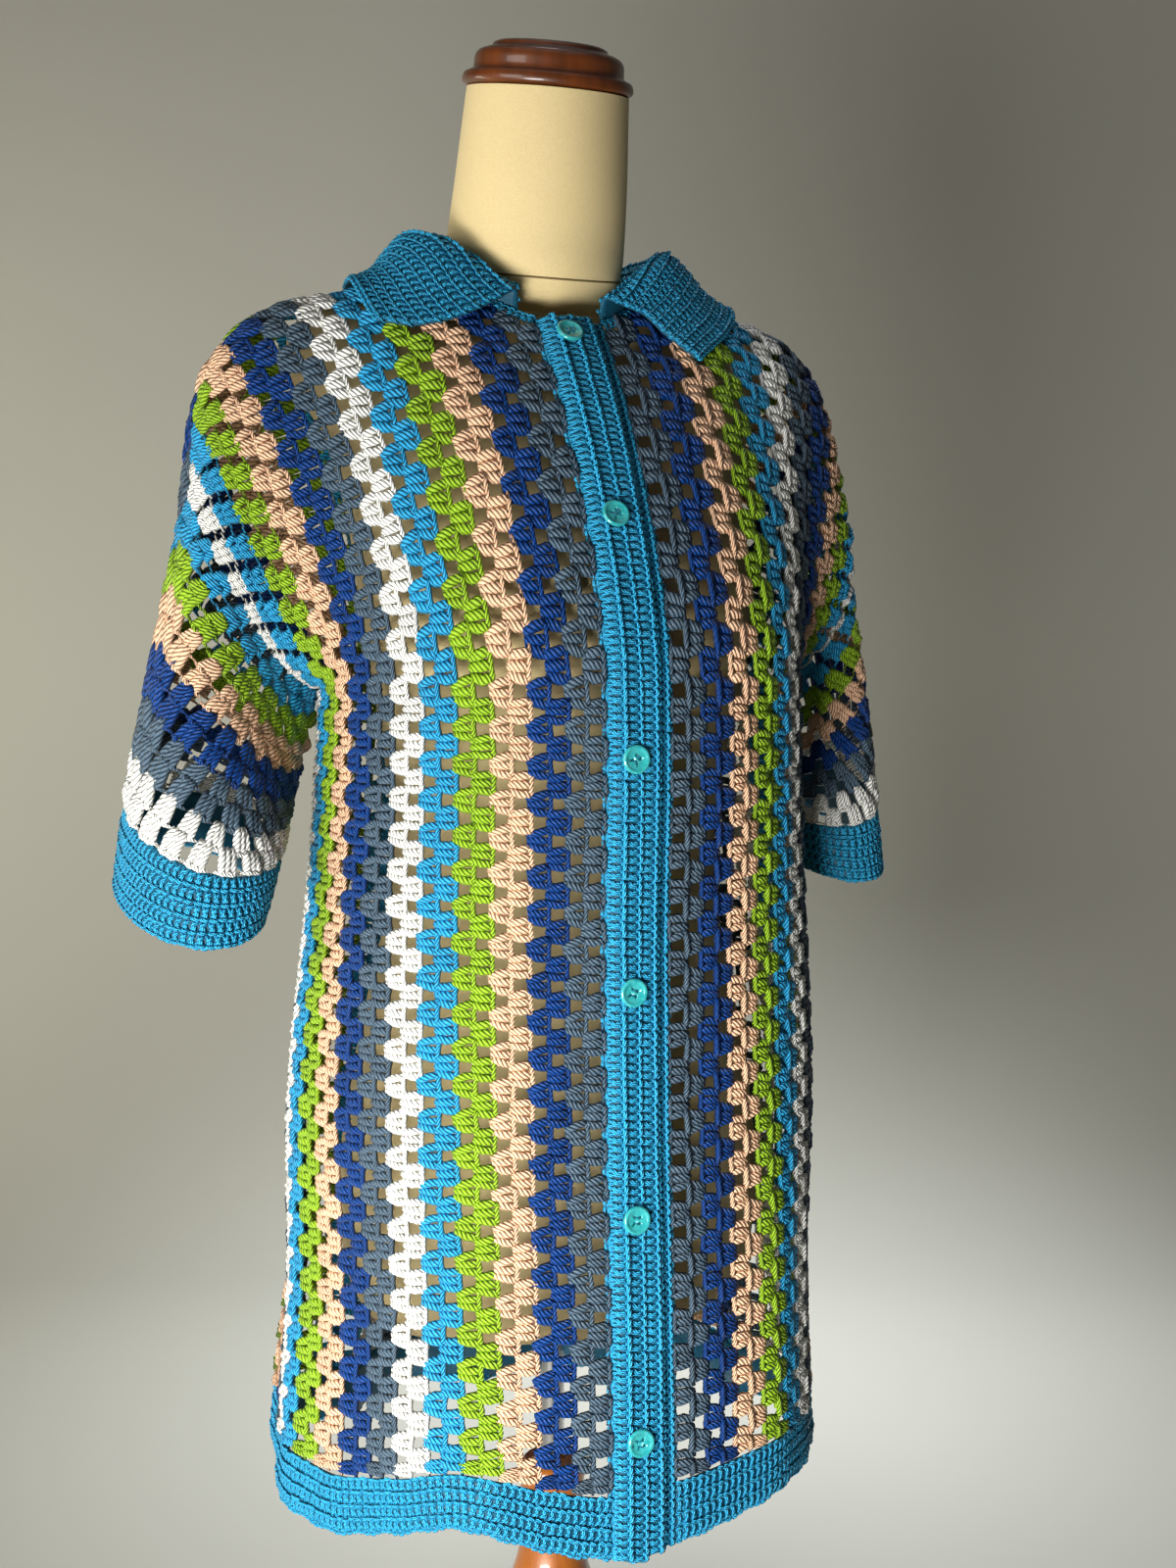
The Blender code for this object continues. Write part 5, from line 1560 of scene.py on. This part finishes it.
class CARDIGAN_OT_form(bpy.types.Operator):
    """Make the linen form with its neck cap, its pole and its turned stand"""
    bl_idname = "cardigan.form"
    bl_label = "Form and stand"

    def execute(self, context):
        colours = context.scene.cardigan_stand
        linen = finish("linen", tuple(colours.linen))
        levels = np.concatenate([np.linspace(*stretch) for stretch in FORM_LEVELS])
        angles = tau * np.arange(FORM_SEGMENTS) / FORM_SEGMENTS
        body = closed_rings("form_linen", [form_point(a, z) for z in levels for a in angles], len(levels),
                            FORM_SEGMENTS, linen)
        belongs(body, "linen", "form_body")
        seam = []
        for angle in angles:
            z = NECK_SEAM_Z
            for _ in range(8):
                z = NECK_SEAM_Z + NECK_SEAM_TILT * (form_point(angle, z)[1] + 0.02)
            seam.append(form_point(angle, z))
        welt = Yarn()
        welt.tube(seam, 0.0007, 6, closed=True)
        thread, _, _ = finish_of("seam thread", {"Base Color": opaque(linear(HEX["seam"])), "Roughness": 0.9})
        sewn = welt.object("form_neck_seam", thread)
        belongs(sewn, "linen")
        cap_wood = wood_finish("varnished beech", tuple(colours.cap_wood), linear(HEX["cap_wood_dark"]), 0.4)
        cap = lathe("form_cap_turned", CAP_PROFILE, 80, cap_wood, CAP_MIDDLE, CAP_TILT, 2)
        belongs(cap, "varnished_wood", "form_cap")
        pole = lathe("form_pole_tube", ((POLE_RADIUS, POLE_BOTTOM), (POLE_RADIUS, FORM[0].z - SEAM)), 64,
                     finish("chrome"))
        belongs(pole, "chrome", "form_pole")
        stand_wood = wood_finish("varnished turned hardwood", tuple(colours.stand_wood),
                                 linear(HEX["stand_wood_dark"]), 0.8)
        base = lathe("form_base_turned", BASE_PROFILE, 80, stand_wood, ease_corners=2)
        belongs(base, "stand_wood", "form_base")
        return {"FINISHED"}


# Studio

CAMERA_LENS = 45.0
SENSOR = 36.0             # its tall side, in millimetres
CAMERA_PITCH = 0.0863     # radians down
CAMERA_ROLL = radians(0.3)
CAMERA_SIDE = 0.0222      # the camera stands this far to its own right of the form's axis
FLOOR_END = 0.9           # from the form's axis to where the floor turns up into the wall
SWEEP = 0.7               # radius of that turn

# An area light: its power, where it is and where it points, as seen from the camera (right, ahead and up
# from the form's foot), the side of its face, its colour and the angle it spreads in, in degrees
Lamp = namedtuple("Lamp", "name power place target size colour spread")
WARM, WHITE, COOL, EVENING = (1.0, 0.98, 0.94), (1.0, 1.0, 1.0), (0.88, 0.93, 1.0), (1.0, 0.98, 0.84)
FORM_MIDDLE = (0.0, 0.0, 0.65)


class CARDIGAN_OT_studio(bpy.types.Operator):
    """Make the floor and wall, the soft lights and the camera"""
    bl_idname = "cardigan.studio"
    bl_label = "Studio"

    def execute(self, context):
        studio = context.scene.cardigan_studio
        turn = studio.azimuth
        ahead = np.array((sin(turn), cos(turn), 0.0))
        right = np.array((cos(turn), -sin(turn), 0.0))
        up = np.array((0.0, 0.0, 1.0))
        eye = -ahead * studio.distance + right * CAMERA_SIDE + up * studio.eye_height
        forward = ahead * cos(CAMERA_PITCH) - up * sin(CAMERA_PITCH)
        tall = up * cos(CAMERA_PITCH) + ahead * sin(CAMERA_PITCH)
        wide = right * cos(CAMERA_ROLL) + tall * sin(CAMERA_ROLL)
        tall = tall * cos(CAMERA_ROLL) - right * sin(CAMERA_ROLL)
        data = bpy.data.cameras.new("camera")
        data.sensor_fit, data.sensor_height, data.lens = "VERTICAL", SENSOR, CAMERA_LENS
        data.clip_start = 0.01
        camera = bpy.data.objects.new("camera", data)
        axes = np.stack((wide, tall, -forward, eye), axis=1)
        camera.matrix_world = Matrix([*map(list, axes), [0, 0, 0, 1]])
        context.collection.objects.link(camera)
        context.scene.camera = camera
        self.backdrop(ahead, right)
        for lamp in (
            Lamp("window", studio.window_power, (-1.65, -1.45, 0.95), FORM_MIDDLE, 1.2, WARM, 180),
            Lamp("low window", studio.low_power, (-0.5, -1.35, 0.12), (0.0, 0.0, 0.22), 0.7, WHITE, 95),
            Lamp("window on the wall", 13.8, (-1.75, 0.5, 0.7), (-0.6, 1.6, 0.55), 0.9, EVENING, 180),
            Lamp("window on the floor", 6.2, (0.15, 0.75, 2.3), (0.15, 0.62, 0.0), 0.5, COOL, 46),
            Lamp("fill", studio.fill_power, (1.9, -0.9, 1.1), FORM_MIDDLE, 1.8, WARM, 180),
            Lamp("from above", 2.0, (0.0, -0.3, 2.4), FORM_MIDDLE, 1.6, WHITE, 180),
        ):
            self.light(lamp, np.stack((right, ahead, up), axis=1))
        world = bpy.data.worlds.new("soft room")
        world.use_nodes = True
        world.node_tree.nodes["Background"].inputs[0].default_value = (0.95, 0.97, 1.0, 1.0)
        world.node_tree.nodes["Background"].inputs[1].default_value = 0.06
        context.scene.world = world
        context.scene.view_settings.view_transform = "Standard"
        return {"FINISHED"}

    def backdrop(self, ahead, right):
        """A floor that runs up into a wall in one sweep."""
        line = [(-3.0, 0.0), (FLOOR_END, 0.0)]
        line += [(FLOOR_END + SWEEP * sin(a), SWEEP - SWEEP * cos(a)) for a in np.linspace(0.1, pi / 2, 14)]
        line += [(FLOOR_END + SWEEP, 3.2)]
        points = [ahead * away + right * wide + np.array((0, 0, height))
                  for away, height in line for wide in (-4, 4)]
        faces = [(2 * i, 2 * i + 1, 2 * i + 3, 2 * i + 2) for i in range(len(line) - 1)]
        mesh_object("floor_and_wall", points, faces, finish("wall"))

    def light(self, lamp, axes):
        data = bpy.data.lights.new(lamp.name, "AREA")
        data.energy, data.size, data.color = lamp.power, lamp.size, lamp.colour
        data.spread = radians(lamp.spread)
        made = bpy.data.objects.new(lamp.name, data)
        place, target = (Vector(axes @ np.array(at)) for at in (lamp.place, lamp.target))
        made.location = place
        made.rotation_euler = (target - place).to_track_quat("-Z", "Y").to_euler()
        bpy.context.collection.objects.link(made)


OPERATORS = (CARDIGAN_OT_panels, CARDIGAN_OT_sleeves, CARDIGAN_OT_bands, CARDIGAN_OT_collar,
             CARDIGAN_OT_buttons, CARDIGAN_OT_form, CARDIGAN_OT_studio)


class CARDIGAN_PT_pieces(bpy.types.Panel):
    """The cardigan's pieces and their sizes and colours"""
    bl_idname = "CARDIGAN_PT_pieces"
    bl_label = "Cardigan"
    bl_space_type = "VIEW_3D"
    bl_region_type = "UI"
    bl_category = "Cardigan"

    def draw(self, context):
        for group in ("cardigan_yarns", "cardigan_crochet", "cardigan_stand", "cardigan_studio"):
            settings = getattr(context.scene, group)
            box = self.layout.box()
            for key in settings.__annotations__:
                box.prop(settings, key)
        for operator in OPERATORS:
            self.layout.operator(operator.bl_idname)


GROUPS = (("cardigan_yarns", YarnColours), ("cardigan_crochet", CrochetSizes),
          ("cardigan_stand", StandColours), ("cardigan_studio", StudioSizes))


def register():
    for name, group in GROUPS:
        bpy.utils.register_class(group)
        setattr(bpy.types.Scene, name, PointerProperty(type=group))
    for made in (*OPERATORS, CARDIGAN_PT_pieces):
        bpy.utils.register_class(made)


def unregister():
    for made in (CARDIGAN_PT_pieces, *reversed(OPERATORS)):
        bpy.utils.unregister_class(made)
    for name, group in reversed(GROUPS):
        delattr(bpy.types.Scene, name)
        bpy.utils.unregister_class(group)


def main():
    register()
    for operator in OPERATORS:
        group, name = operator.bl_idname.split(".")
        getattr(getattr(bpy.ops, group), name)()


if __name__ == "__main__":
    main()
